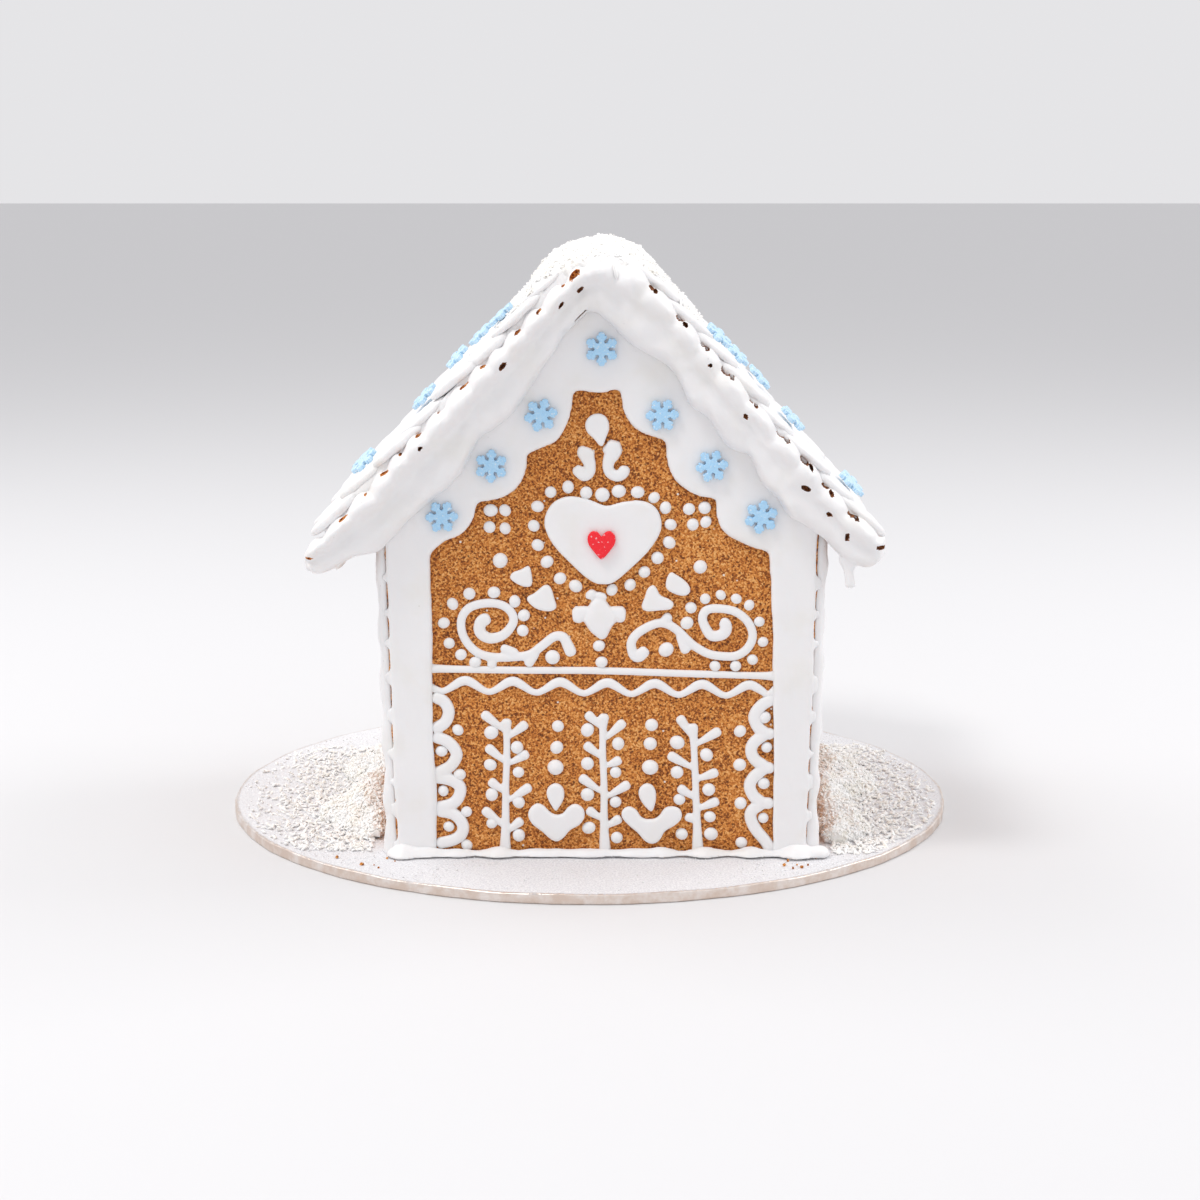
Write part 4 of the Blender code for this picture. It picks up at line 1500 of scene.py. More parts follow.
@dataclass
class Rolls:
    """The plainer icing rolls: along the eaves, up the corners and along the foot of each gable."""

    house: House
    finishes: Finishes

    def build(self) -> None:
        """Makes the ten rolls."""
        for name, side in (("left", self.house.roof_left), ("right", self.house.roof_right)):
            self._eave(name, side)
        for name, side in (("left", self.house.left), ("right", self.house.right)):
            for end, sign in (("front", 1), ("back", -1)):
                self._corner(name, end, side, sign if name == "left" else -sign)
        for name, side in (("front", self.house.front), ("back", self.house.back)):
            self._foot(name, side)

    def _dress(self, piece: Piece, node: str, side: Side, seed: float) -> None:
        """Softens a roll and lays it on its side.

        Args:
            piece: the object.
            node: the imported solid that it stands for.
            side: the side of the house that it lies on.
            seed: sets how uneven it comes out.
        """
        Bench.blend(piece, 0.9, 2)
        Bench.wobble(piece, 0.3, 4.5, seed)
        side.lay(piece)
        Bench.done(piece, f"roll_{node}", [self.finishes.icing], Slot.ICING, [node], 80)

    def _eave(self, name: str, side: Side) -> None:
        """Icing over the lower end of a roof panel, hanging in soft tips.

        Args:
            name: left or right.
            side: the side of the house that it lies on.
        """
        house = self.house
        half = house.depth_half + 3.0
        rings = []
        for u in np.linspace(-half, half, 200):
            end = -house.slope - GAP
            hang = 3.0 + 1.6 * math.sin(u / 5.1) + 1.1 * noise.noise((u / 7, 0, 0.3)) * 2
            close = min(1.0, (half - abs(u)) / 11.0)
            full = math.sqrt(max(0.1, 1 - (1 - close) ** 2))
            hang *= full
            bow = [(0.6, 0.6), (-1.6, 0.9), (-3.4, 0.2), (-4.7, -1.6), (-5.2, -3.8)]
            bow += [(-4.6 - hang * 0.4, -6.2), (-2.4 - hang, -8.8), (-0.6 - hang * 0.7, -9.2), (0.4, -7.6)]
            bow += [(0.6, -4.0)]
            rings.append([(u, end + (v + 2.0) * full - 2.0, (w + 4.0) * full - 4.0) for v, w in bow])
        self._dress(Bench.loft("eave", rings), f"eave_{name}", side, 2.0)

    def _corner(self, name: str, end: str, side: Side, sign: int) -> None:
        """An upright roll that glues a side wall to a gable wall.

        Args:
            name: left or right.
            end: front or back.
            side: the side of the house that it lies on.
            sign: the end of the side wall that it stands at, -1 or 1.
        """
        half = self.house.depth_half
        rings = []
        for v in np.linspace(-0.5, 131.0, 130):
            lump = noise.noise((v / 9, sign * 3.0, 0.5)) * 1.6 + 0.8 * math.sin(v / 3.4 + sign)
            wide = 4.9 + 0.4 * lump
            high = 3.3 + lump * 0.6
            foot = 1.0 + 0.35 * math.exp(-v / 4)
            middle = sign * (half + 0.4 - wide)
            bow = arc((0, 0), 1.0, -20, 200, 14)
            rings.append([(middle + u * wide, v, w * high * foot) for u, w in bow] + [(middle, v, -1.6)])
        self._dress(Bench.loft("corner", rings), f"corner_{end}_{name}", side, 3.0 + sign)

    def _foot(self, name: str, side: Side) -> None:
        """A bead along the foot of a gable wall, spread on the board, with a blob at its right end.

        Args:
            name: front or back.
            side: the side of the house that it lies on.
        """
        reach = self.house.base_half + 3.0
        rings = []
        for u in np.linspace(-reach, reach, 170):
            size = 3.3 + 1.5 * noise.noise((u / 9, 1.0, 2.0))
            size += 1.6 * math.exp(-(((abs(u) - 78) / 7) ** 2))
            close = math.sqrt(max(0.06, 1 - (1 - min(1.0, (reach - abs(u)) / 3.5)) ** 2))
            bow = [
                (0.6 + size * close * (w * 1.15 + 0.5 * max(0.0, 1 - v) ** 4), size * close * v)
                for w, v in arc((0, 0), 1.0, -4, 90, 12)
            ]
            behind = [(u, 0.05, -1.0), (u, 2.0 * close, -1.0)]
            rings.append([(u, max(v, 0.05), 1.8 + w) for w, v in bow] + behind)
        bead = Bench.loft("foot", rings)
        right = Stroke(((81.0, 1.5), (86.5, 1.2), (89.5, 1.0)), (8.0, 9.5, 7.0))
        left = Stroke(((-80.5, 1.0), (-84.5, 1.0)), (6.0, 5.0))
        blobs = Piping.lines([right, left], 0.6, 4.5)
        upright = Matrix.Rotation(math.radians(-90), 4, "X")
        blobs.data.transform(Matrix.Translation((0, 0.8, 4.5)) @ upright)
        Bench.move(blobs, lambda p: np.column_stack([p[:, 0], np.maximum(np.abs(p[:, 1]), 0.05), p[:, 2]]))
        self._dress(Bench.join([bead, blobs]), f"foot_{name}", side, 6.0)


@dataclass
class RoofTiles:
    """Courses of soft tongues of icing, each lapping over the next course down."""

    house: House
    finishes: Finishes
    rows: int = 8
    tiles: int = 9
    # How far below the ridge the courses start, and how deep the bed is made before it is levelled
    start: float = 12.0
    bed: float = 8.0

    def _tongue(self) -> Piece:
        """One tongue: round-ended, domed, combed with fine lines, 1 wide and 1 long.

        Returns:
            The tongue.
        """
        bpy.ops.object.select_all(action="DESELECT")
        bpy.ops.mesh.primitive_uv_sphere_add(segments=36, ring_count=14, radius=1.0)
        tongue = bpy.context.object

        def shape(points: np.ndarray) -> np.ndarray:
            """Squares the ball, flattens it and combs its top.

            Args:
                points: the mesh's points.

            Returns:
                The moved points.
            """
            x, y, z = points.T.copy()
            square = np.maximum(np.abs(x), 1e-6) ** 0.8 * np.sign(x)
            comb = 0.06 * np.cos(np.arctan2(x, y + 1.6) * 34) * (z > 0.2) * (y < 0.6)
            wide = np.where(y > 0, 1.0, np.sqrt(np.clip(1 - (np.abs(y) ** 2.6), 0, 1)) * 0.2 + 0.8)
            high = np.sign(z) * np.abs(z) ** 0.7 + comb
            return np.column_stack([square * wide * 0.55, y * 0.5 - 0.5, high])

        Bench.move(tongue, shape)
        return tongue

    def _side(self, name: str, side: Side, seed: int) -> None:
        """Lays the courses on one side of the roof.

        Args:
            name: left or right.
            side: the side of the house that it lies on.
            seed: sets how uneven it comes out.
        """
        house = self.house
        half = house.roof_half + 0.5
        top, bottom = -self.start, -(house.slope + 1.5)
        edge = half + 0.8
        course = (top - bottom - 4.0) / self.rows
        width = 2 * half / self.tiles
        draw = random.Random(seed)
        places = []
        for row in range(self.rows):
            shift = 0.5 * (row % 2)
            for i in range(self.tiles + row % 2):
                u = -half + width * (i + 0.5 - shift)
                wide = width * draw.uniform(0.92, 1.08)
                near, far = max(-edge, u - wide / 2), min(edge, u + wide / 2)
                length = course * draw.uniform(1.50, 1.68)
                low = top - course * (row + 1) - draw.uniform(1.0, 4.2)
                low = max(low, bottom)
                tilt = Matrix.Rotation(math.radians(-draw.uniform(4.5, 6.5)), 4, "X")
                yaw = Matrix.Rotation(math.radians(draw.uniform(-5, 5)), 4, "Z")
                thick = draw.uniform(2.0, 2.7)
                level = house.iced(name, -low) - thick - 2.4
                base = Matrix.Translation(((far + near) / 2, low + length, level + draw.uniform(-0.5, 0.5)))
                places.append(base @ yaw @ tilt @ Matrix.Diagonal((far - near, length, thick, 1)))
        tongues = Bench.scatter("tongues", [self._tongue()], places)
        low = bottom + 5
        outline = [Vector((u, v, 0)) for u, v in ((-half, low), (half, low), (half, top), (-half, top))]
        bed = Piping.cut_out(outline, 1.0, 0.3)
        Bench.move(bed, lambda p: p * np.array([1, 1, self.bed]))
        Bench.modify(bed, "REMESH", mode="VOXEL", voxel_size=1.6)
        level = np.vectorize(lambda v: (house.iced(name, -v) - 4.0) / self.bed)
        Bench.move(bed, lambda p: np.column_stack([p[:, 0], p[:, 1], p[:, 2] * level(p[:, 1])]))
        Bench.wobble(bed, 0.5, 6.0, seed)
        roof = Bench.join([tongues, bed])
        roof.data.transform(Matrix.Translation((0, 0, 0.3)))
        Bench.wobble(roof, 0.5, 6.5, seed + 2)
        side.lay(roof)
        Bench.done(roof, f"iced_tiles_{name}", [self.finishes.frosting], Slot.ICING, [f"tiles_{name}"], 60)

    def build(self) -> None:
        """Makes both sides."""
        self._side("left", self.house.roof_left, 21)
        self._side("right", self.house.roof_right, 34)


@dataclass
class CoconutSnow:
    """Coconut: a core for each heap, and loose shreds over it."""

    house: House
    finishes: Finishes
    # How many shreds lie on each core, spill over the board beside it, and lie down the roof
    shreds: int = 4200
    spilled: int = 2200
    drifted: int = 700
    # How the shreds are bent
    bends: tuple[float, ...] = (0.06, -0.1, 0.02, 0.15)

    def _shreds(self) -> list[Piece]:
        """A few bent shreds, 1 long.

        Returns:
            The shreds.
        """
        made = []
        for i, bend in enumerate(self.bends):
            bpy.ops.object.select_all(action="DESELECT")
            bpy.ops.mesh.primitive_ico_sphere_add(subdivisions=1, radius=0.5)
            shred = bpy.context.object
            thin = 0.78 + 0.05 * i

            def shape(points: np.ndarray, bend: float = bend, thin: float = thin) -> np.ndarray:
                """Draws the ball out along X, with blunt ends, and bends it."""
                reach = 2 * points[:, 2]
                along = np.sign(reach) * np.abs(reach) ** 0.6 / 2
                across = points[:, 0] * 0.42 + bend * (1 - reach**2)
                return np.column_stack([along, across, points[:, 1] * 0.42 * thin])

            Bench.move(shred, shape)
            made.append(shred)
        return made

    def _lie(self, draw: random.Random, place: Vector, normal: Vector, length: float) -> Matrix:
        """A place for a shred that lies on a slope, a little tipped.

        Args:
            draw: the source of chance.
            place: where it lies.
            normal: the slope's normal.
            length: how long the shred is.

        Returns:
            The matrix.
        """
        axis = normal.to_track_quat("Z", "Y").to_matrix().to_4x4()
        spin = Matrix.Rotation(draw.uniform(0, math.tau), 4, "Z")
        tip = Matrix.Rotation(draw.gauss(0, 0.5), 4, "Y")
        fat = draw.uniform(0.75, 1.3)
        wide, high = length * 0.8 * fat + 1.0 * MM, length * 0.6 * fat + 0.8 * MM
        return Matrix.Translation(place) @ axis @ spin @ tip @ Matrix.Diagonal((length, wide, high, 1))

    def _cover(self, core: Piece, draw: random.Random) -> list[Matrix]:
        """Places over a core's upper faces, in proportion to their size.

        Args:
            core: the heap's core.
            draw: the source of chance.

        Returns:
            A matrix for each shred.
        """
        faces = [p for p in core.data.polygons if p.normal.z > 0.1]
        picked = draw.choices(faces, weights=[p.area for p in faces], k=self.shreds)
        places = []
        for face in picked:
            corners = [core.data.vertices[i].co for i in face.vertices]
            weights = [draw.random() for _ in corners]
            spot = sum((c * w for c, w in zip(corners, weights)), Vector()) / sum(weights)
            spot += face.normal * draw.uniform(-0.2, 0.7) * MM
            places.append(self._lie(draw, spot, face.normal, draw.uniform(1.2, 3.0) * MM))
        return places

    def _core(self, node: str, seed: float) -> Piece:
        """The heap's inner body, roughened.

        Args:
            node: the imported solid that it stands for.
            seed: sets how uneven it comes out.

        Returns:
            The core.
        """
        core = Bench.copy_of(node, node)
        Bench.blend(core, 1.0 * MM, 3)
        Bench.wobble(core, 2.3 * MM, 8 * MM, seed)
        Bench.wobble(core, 0.6 * MM, 1.9 * MM, seed + 1)
        return core

    def _ridge_core(self) -> Piece:
        """The rounded bank over the ridge, from gable to gable.

        Returns:
            The bank's core.
        """
        house = self.house
        rings = []
        reach = house.roof_half - 1.0
        for y in np.linspace(-reach, reach, 130):
            close = math.sqrt(max(0.05, 1 - (1 - min(1.0, (reach - abs(y)) / 7)) ** 2))
            left = 30.0 + 5.0 * noise.noise((y / 11, 0, 7.0))
            right = 23.0 + 4.0 * noise.noise((y / 11, 0, 2.0))
            top, under = [], []
            for i in range(25):
                share = i / 12 - 1
                u = share * (left if share < 0 else right)
                icing = house.iced("left", abs(u) / house.cos) / house.cos
                level = house.ridge - house.rise * abs(u) + icing - 6.0
                edge = max(0.0, 1 - share * share) ** 0.35
                crest = house.ridge + 3.6 - 0.0115 * u * u
                level = min(level, crest - 2.5)
                lump = 1.5 * noise.noise((u / 8, y / 8, 3.0)) + 0.7 * noise.noise((u / 3.5, y / 3.5, 5.0))
                top.append((u, y, level + (max(0.0, crest - level) * edge + lump) * close))
                under.append((u, y, level - 3.0))
            rings.append(top + under[::-1])
        core = Bench.loft("snow_ridge", rings)
        middle = (house.front_y + house.back_y) / 2
        core.data.transform(Matrix.Translation((house.middle, middle, house.board_top)) @ Matrix.Scale(MM, 4))
        Bench.blend(core, 1.0 * MM, 2)
        Bench.wobble(core, 0.9 * MM, 3.0 * MM, 1.0)
        return core

    def _ridge(self) -> None:
        """The coconut pressed along the ridge."""
        draw = random.Random(8)
        core = self._ridge_core()
        places = self._cover(core, draw)
        ends = (self.house.front_y - 7 * MM, self.house.back_y + 7 * MM)
        top = self.house.board_top + self.house.ridge * MM
        for u, up, lean in ((0.5, 227.5, 84), (5.0, 228.5, 78)):
            front = self.house.front.matrix() @ Matrix.Translation((u, up, 14.5))
            stand = Matrix.Rotation(math.radians(lean), 4, "Y")
            place = Matrix.Translation(front.translation) @ stand
            places.append(place @ Matrix.Diagonal((6.5 * MM, 5 * MM, 5 * MM, 1)))
        for _ in range(self.drifted):
            u = math.copysign(draw.uniform(20, 42), draw.random() - 0.45)
            y = draw.uniform(*ends)
            normal = Vector((math.copysign(self.house.sin, u), 0, self.house.cos))
            level = self.house.iced("left" if u < 0 else "right", abs(u) / self.house.cos) / self.house.cos
            height = top + (level - 0.5 - self.house.rise * abs(u)) * MM
            places.append(self._lie(draw, Vector((self.house.middle + u * MM, y, height)), normal, 3.0 * MM))
        loose = Bench.scatter("ridge shreds", self._shreds(), places)
        snow = Bench.join([core, loose])
        Bench.done(snow, "coconut_ridge", [self.finishes.coconut], Slot.COCONUT, ["snow_ridge"], 50)

    def _heap(self, name: str, sign: int) -> None:
        """The coconut heaped beside one wall, thinning out over the board.

        Args:
            name: left or right.
            sign: -1 on the left, 1 on the right.
        """
        draw = random.Random(40 + sign)
        node = f"snow_{name}"
        core = self._core(node, 4.0 + sign)
        places = self._cover(core, draw)
        low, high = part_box(node)
        wall = low.x if sign > 0 else high.x
        board = self.house.board_top
        full = self.shreds + self.spilled
        while len(places) < full:
            x = wall + sign * (abs(draw.gauss(0, 26.0)) + 3.0) * MM
            y = draw.uniform(low.y - 16 * MM, high.y + 14 * MM)
            if math.hypot(x, y) > self.house.board_radius - 3 * MM:
                continue
            tilt = Vector((draw.gauss(0, 0.1), draw.gauss(0, 0.1), 1)).normalized()
            spot = Vector((x, y, board + draw.uniform(0.3, 0.8) * MM))
            places.append(self._lie(draw, spot, tilt, draw.uniform(1.4, 3.8) * MM))
        loose = Bench.scatter("heap shreds", self._shreds(), places)
        snow = Bench.join([core, loose])
        Bench.done(snow, f"coconut_heap_{name}", [self.finishes.coconut], Slot.COCONUT, [node], 50)

    def build(self) -> None:
        """Makes the three heaps."""
        self._ridge()
        self._heap("left", -1)
        self._heap("right", 1)


@dataclass
class SugarShapes:
    """The pressed sugar snowflakes and the red heart."""

    house: House
    finishes: Finishes
    thickness: float = 1.8
    # One arm, half its outline: how far out along it, and how far to its side
    arm: tuple[Point, ...] = (
        (2.25, 1.22), (3.1, 0.95), (3.7, 1.5), (4.5, 2.0), (5.15, 1.75), (5.1, 1.25), (5.95, 1.15),
        (6.4, 0.55),
    )
    front_turns: tuple[float, ...] = (2, 28, 12, 20, 8, 3, 30)
    on_each_slope: int = 6
    heart: float = 10.8
    heart_thick: float = 1.9

    def _flake(self, size: float = 1.0) -> Piece:
        """One snowflake, lying on its middle.

        Args:
            size: how large, with 1 for the usual size.

        Returns:
            The snowflake, in millimetres.
        """
        outline = []
        for i in range(6):
            turn = Matrix.Rotation(math.radians(60 * i), 3, "Z")
            half = [Vector((r, -s, 0)) for r, s in self.arm] + [Vector((r, s, 0)) for r, s in self.arm[::-1]]
            outline += [turn @ p * size for p in half]
        return Piping.cut_out(outline, self.thickness, 0.32)

    def _place(self, node: str, side: Side, turn: float, index: int, slope: str = "") -> None:
        """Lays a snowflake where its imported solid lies, or above it on the roof's icing.

        Args:
            node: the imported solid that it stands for.
            side: the side of the house that it lies on.
            turn: how it is turned, in degrees.
            index: its number in its row.
            slope: left or right on the roof, or nothing on a wall.
        """
        low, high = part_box(node)
        local = side.matrix().inverted() @ ((low + high) / 2)
        flake = self._flake(0.97 + 0.012 * (index % 4))
        lean = Matrix.Rotation(math.radians(((index * 37) % 7) - 3), 4, "X")
        if slope:
            local.z = self.house.iced(slope, -local.y) + 1.6
            toward = 9 if slope == "left" else -9
            lean = Matrix.Rotation(math.radians(toward + ((index * 29) % 9) - 4), 4, "Y") @ lean
        flake.data.transform(
            Matrix.Translation((local.x, local.y, local.z - self.thickness / 2))
            @ lean
            @ Matrix.Rotation(math.radians(turn), 4, "Z")
        )
        side.lay(flake)
        # Flakes on the roof take the paler copy of the blue sugar.
        finish = self.finishes.paler_blue if slope else self.finishes.blue
        Bench.done(flake, f"sugar_{node}", [finish], Slot.BLUE, [node], 35)

    def build(self) -> None:
        """Makes every snowflake and the heart."""
        house = self.house
        for i, turn in enumerate(self.front_turns):
            self._place(f"flake_front_{i + 1}", house.front, turn, i)
        for name, side in (("left", house.roof_left), ("right", house.roof_right)):
            for i in range(self.on_each_slope):
                self._place(f"flake_roof_{name}_{i + 1}", side, 23.0 * i, i, name)
        low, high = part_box("heart_red")
        local = house.front.matrix().inverted() @ ((low + high) / 2)
        line = [p + Vector((local.x, local.y, 0)) for p in heart_line(self.heart, self.heart)]
        heart = Piping.cut_out(line, self.heart_thick, 0.5)
        heart.data.transform(Matrix.Translation((0, 0, local.z - self.heart_thick / 2)))
        house.front.lay(heart)
        Bench.done(heart, "sugar_heart_red", [self.finishes.red], Slot.RED, ["heart_red"], 35)


def heart_line(width: float, height: float) -> list[Vector]:
    """A heart's outline about its middle.

    Args:
        width: how wide it is.
        height: how high it is.

    Returns:
        Its points.
    """
    half = [(0.0, 0.30), (0.14, 0.46), (0.30, 0.50), (0.44, 0.40), (0.50, 0.22), (0.44, 0.0), (0.25, -0.26)]
    right = half + [(0.07, -0.47), (0.0, -0.5)]
    shape = curve_through([(u * width, v * height) for u, v in right], width * 0.03)
    return shape + [Vector((-p.x, p.y, 0)) for p in shape[-2:0:-1]]


# ---------------------------------------------------------------- the piped ornaments of a gable

CURLS = {
    "scroll_left": (
        (
            (-43, 95), (-46.5, 93.5), (-47, 89.5), (-43.5, 87), (-38.5, 88), (-35, 91.5), (-34, 95),
            (-36, 98.5), (-40, 100.5), (-45.5, 100.7), (-51, 99), (-54, 95), (-54, 89.5), (-51.5, 84.5),
            (-47.5, 81), (-42, 79.5), (-35, 79.5), (-28, 80.5), (-23, 84), (-18.5, 87.5), (-15, 87.5),
            (-13, 84), (-11.3, 80),
        ),
        ((-39, 83.5), (-32.5, 80.5)),
        ((-25, 82), (-29, 76)),
        ((-42.5, 79), (-42.5, 75)),
    ),
    "scroll_right": (
        (
            (45.8, 93.5), (47.8, 92.5), (48, 90), (46.3, 88.3), (42.5, 88), (40, 91.5), (39, 95),
            (40.5, 98), (45, 98.7), (51.5, 97.5), (56.5, 93.5), (58.5, 88), (56.5, 83), (52, 80),
            (45.5, 80), (41, 81), (36.5, 83.5), (33.5, 86), (30, 89.5), (26.5, 92), (22.5, 93),
            (18, 91.5), (13.5, 88.5), (11.5, 85), (12.3, 80.7), (14.5, 79.7), (17.5, 83),
        ),
        ((23.5, 93.5), (26.8, 96.2)),
        ((30, 89), (33, 81)),
    ),
}
LACES = {
    "lace_left": (
        ((-66, 64), (-61.5, 62), (-59.5, 58), (-61, 53.5), (-66, 50.5)),
        ((-66, 48), (-60, 45.8), (-56.6, 41), (-58.6, 36.5), (-62.5, 34), (-66, 33)),
        ((-66, 31.5), (-59.5, 30.5), (-55.6, 28), (-55.6, 24.5), (-57.5, 21.5), (-61, 20), (-66, 19)),
        ((-65, 18), (-58, 16.5), (-54.6, 12.5), (-55, 8.5), (-58.5, 6), (-65, 4.5)),
    ),
    "lace_right": (
        (
            (68, 63.5), (62.5, 60.5), (59.5, 56), (61, 51.5), (63.5, 49), (59.5, 45.5), (58.4, 42),
            (60, 38.5), (63.5, 35.5), (59.5, 31.5), (58, 28), (59.5, 24), (62.5, 21), (59, 18),
            (58.5, 15), (60.5, 10.5), (64.5, 5.5), (67, 1),
        ),
        ((63.5, 49.2), (67.5, 48.8)),
        ((63.5, 35.5), (67.5, 35)),
        ((62.5, 21), (67.5, 21)),
    ),
}
# Each twig: its stem, then the leaves from root to tip
TWIGS = {
    "twig_left": (
        ((-38, -1), (-37.7, 12.5), (-37.5, 27.5), (-37, 39.5), (-37, 49), (-37, 55)),
        (
            ((-37.5, 50), (-46.5, 57.4)), ((-37.5, 37.5), (-45, 44)), ((-38, 25.5), (-44, 30.3)),
            ((-38, 11.5), (-46.5, 18.7)), ((-36.5, 47.5), (-29, 53.3)), ((-36, 37), (-28.5, 41.3)),
            ((-36.5, 22), (-27.6, 28)), ((-37, 9.5), (-31, 14.4)),
        ),
    ),
    "twig_middle": (
        ((1.5, -1), (1, 12.5), (1, 27.5), (0.5, 39.5), (0.5, 50), (1, 57)),
        (
            ((0, 51.5), (-6, 57.3)), ((0, 39.5), (-6.6, 45)), ((0, 25.5), (-8.5, 31.8)),
            ((0, 14.5), (-5.7, 18.7)), ((1.5, 47), (9, 54)), ((2, 36), (7.7, 38.8)),
            ((2, 23.5), (11, 29)), ((2, 11.5), (7.7, 15.2)),
        ),
    ),
    "twig_right": (
        ((38, -1), (37.5, 12.5), (37, 24), (36.5, 35.5), (36, 45), (35.5, 53)),
        (
            ((35.5, 47.5), (30, 56)), ((36, 35), (26, 40.7)), ((36.5, 23), (30, 27.6)),
            ((37, 13.5), (33, 16)), ((36.5, 44.5), (46.4, 50.5)), ((37, 30.5), (45.6, 33.8)),
            ((37.5, 18.5), (46, 22.2)),
        ),
    ),
}
# Dots: across, up and width
BEADS = (
    # round the heart
    (-19.5, 144, 4.4), (-12.8, 146, 4.5), (-5.9, 143.7, 4.8), (0.3, 143, 5.2), (6.6, 144.4, 5),
    (13.8, 144, 4.7), (20.1, 141.9, 4.3), (24.5, 138, 4.4), (26.5, 131.5, 4.4), (26, 124.5, 4.5),
    (21.5, 118.5, 4.5), (16.5, 113, 4.4), (11, 108, 4.4), (4, 106, 4.2), (-10, 107.5, 4.7),
    (-16, 110.5, 4.5), (-21, 117, 4.8), (-24.5, 123.5, 4.7), (-26, 131, 4.5), (-24.5, 138.5, 4.5),
    # in the corners
    (-42.5, 137, 4.8), (-37, 137, 4.5), (-43, 130.5, 4.6), (-37, 130, 4.5), (-39, 117.5, 5.4),
    (33.5, 137.5, 4.4), (39.5, 138, 4.5), (35, 131.5, 4.6), (40, 132.5, 4.3), (38, 115, 5.3),
    # round the scrolls
    (-51, 104.5, 4.5), (-41.5, 105, 4.5), (-33.5, 101.5, 4.4), (-30, 96, 4.5), (-30.5, 90, 4.5),
    (-57.5, 100.5, 4.3), (-61, 93, 4.4), (-59, 85, 4.3), (-54.5, 80.5, 4.4), (-49, 77.5, 4.3),
    (-19, 79.5, 5.3), (-1, 84, 4.4), (0, 77.5, 4.6), (34.5, 99, 4.2), (33, 93, 4.7), (40, 102.5, 4),
    (46, 104, 4), (52, 102.5, 4), (57, 100, 3.9), (61, 93.5, 4), (62.5, 85.5, 3.9), (58.5, 78.5, 3.9),
    (52, 76, 4), (44, 76, 4.2), (25, 82.5, 5.6),
    # in the lace
    (-62.5, 42, 4.5), (-62, 26, 4.2), (-60, 11.5, 4.2), (-56, 50.5, 4.1), (-55.5, 32.5, 4.8),
    (-53, 17.5, 4.2), (-53, 4, 4.5), (63.5, 55.5, 4.5), (64.5, 43.5, 4.2), (63.5, 29, 4.5),
    (63.5, 15, 4.2), (54, 50, 4.8), (54, 36.5, 4.7), (54.5, 21, 4.7), (55, 5, 4.4),
    # by the twigs
    (-43, 49.5, 5.3), (-43.5, 36.5, 4.7), (-43, 24.5, 4.7), (-43, 13, 4.5), (-33, 43.5, 4.7),
    (-32.5, 33.5, 4.5), (-32.5, 21.5, 4.7), (-32.5, 8, 4.7), (-5.5, 50.5, 5.3), (-5.5, 37, 4.7),
    (-5.5, 24.5, 5), (-5, 11, 4.8), (6.5, 45, 4.8), (5.5, 33.5, 4.5), (5.5, 21.5, 4.5), (6, 7, 4.7),
    (29.5, 45.5, 5.3), (29.5, 33.5, 4.8), (41, 40.5, 4.8), (42, 26.5, 4.7), (30.5, 22.5, 4.5),
    (42.5, 15.5, 4.5), (31.5, 8.5, 4.7), (43, 8.5, 5.1),
    # in the columns between them
    (-17, 52, 4.5), (-17.5, 43.5, 5), (-18, 35.5, 6), (19.5, 52.5, 4.7), (19, 45, 4.8), (19, 35.5, 6),
)
PETALS = (
    (
        (-28.5, 115.3), (-27.5, 114), (-27, 108.5), (-29.5, 107.6), (-33.5, 109.4), (-35, 111),
        (-34, 112.8), (-31, 113.8),
    ),
    (
        (-22, 107.8), (-19.8, 107), (-18.4, 102.5), (-17.6, 99.5), (-20, 98), (-25, 99), (-28.4, 102),
        (-28, 103.6), (-25.5, 104.8),
    ),
    (
        (20, 107.8), (21.5, 106), (22.5, 103.8), (25.5, 102.6), (27.5, 101), (26.6, 98.8), (22.5, 98.4),
        (17.5, 98), (15.7, 99.5), (17, 103.5), (18, 106.5),
    ),
    (
        (26.8, 112.8), (28.5, 112), (32.5, 109), (34, 106.3), (33, 104.5), (30.5, 104.1), (26, 106),
        (25, 107.8), (25.5, 111),
    ),
)
LOW_HEARTS = {
    "heart_low_left": (
        (-25, 21), (-27.5, 19.3), (-28.5, 16.5), (-27, 13), (-23, 9.8), (-20, 7), (-17.5, 6),
        (-15, 7.5), (-12.5, 10.5), (-9, 12.5), (-7, 15.5), (-7.5, 19), (-10.5, 20.8), (-13.5, 19.3),
        (-15.3, 17), (-17.8, 16.3), (-20.3, 17.8), (-22.3, 20),
    ),
    "heart_low_right": (
        (11, 19.8), (8.5, 18.3), (8.3, 15.5), (11, 12.3), (14.5, 9.3), (17, 6.3), (20, 5), (22.7, 6.5),
        (24.7, 10), (28.5, 12.3), (31, 15), (30.7, 18.4), (27.7, 19.8), (24.5, 19), (22.3, 16),
        (19.5, 14.5), (16, 15.5), (14, 18.3),
    ),
}
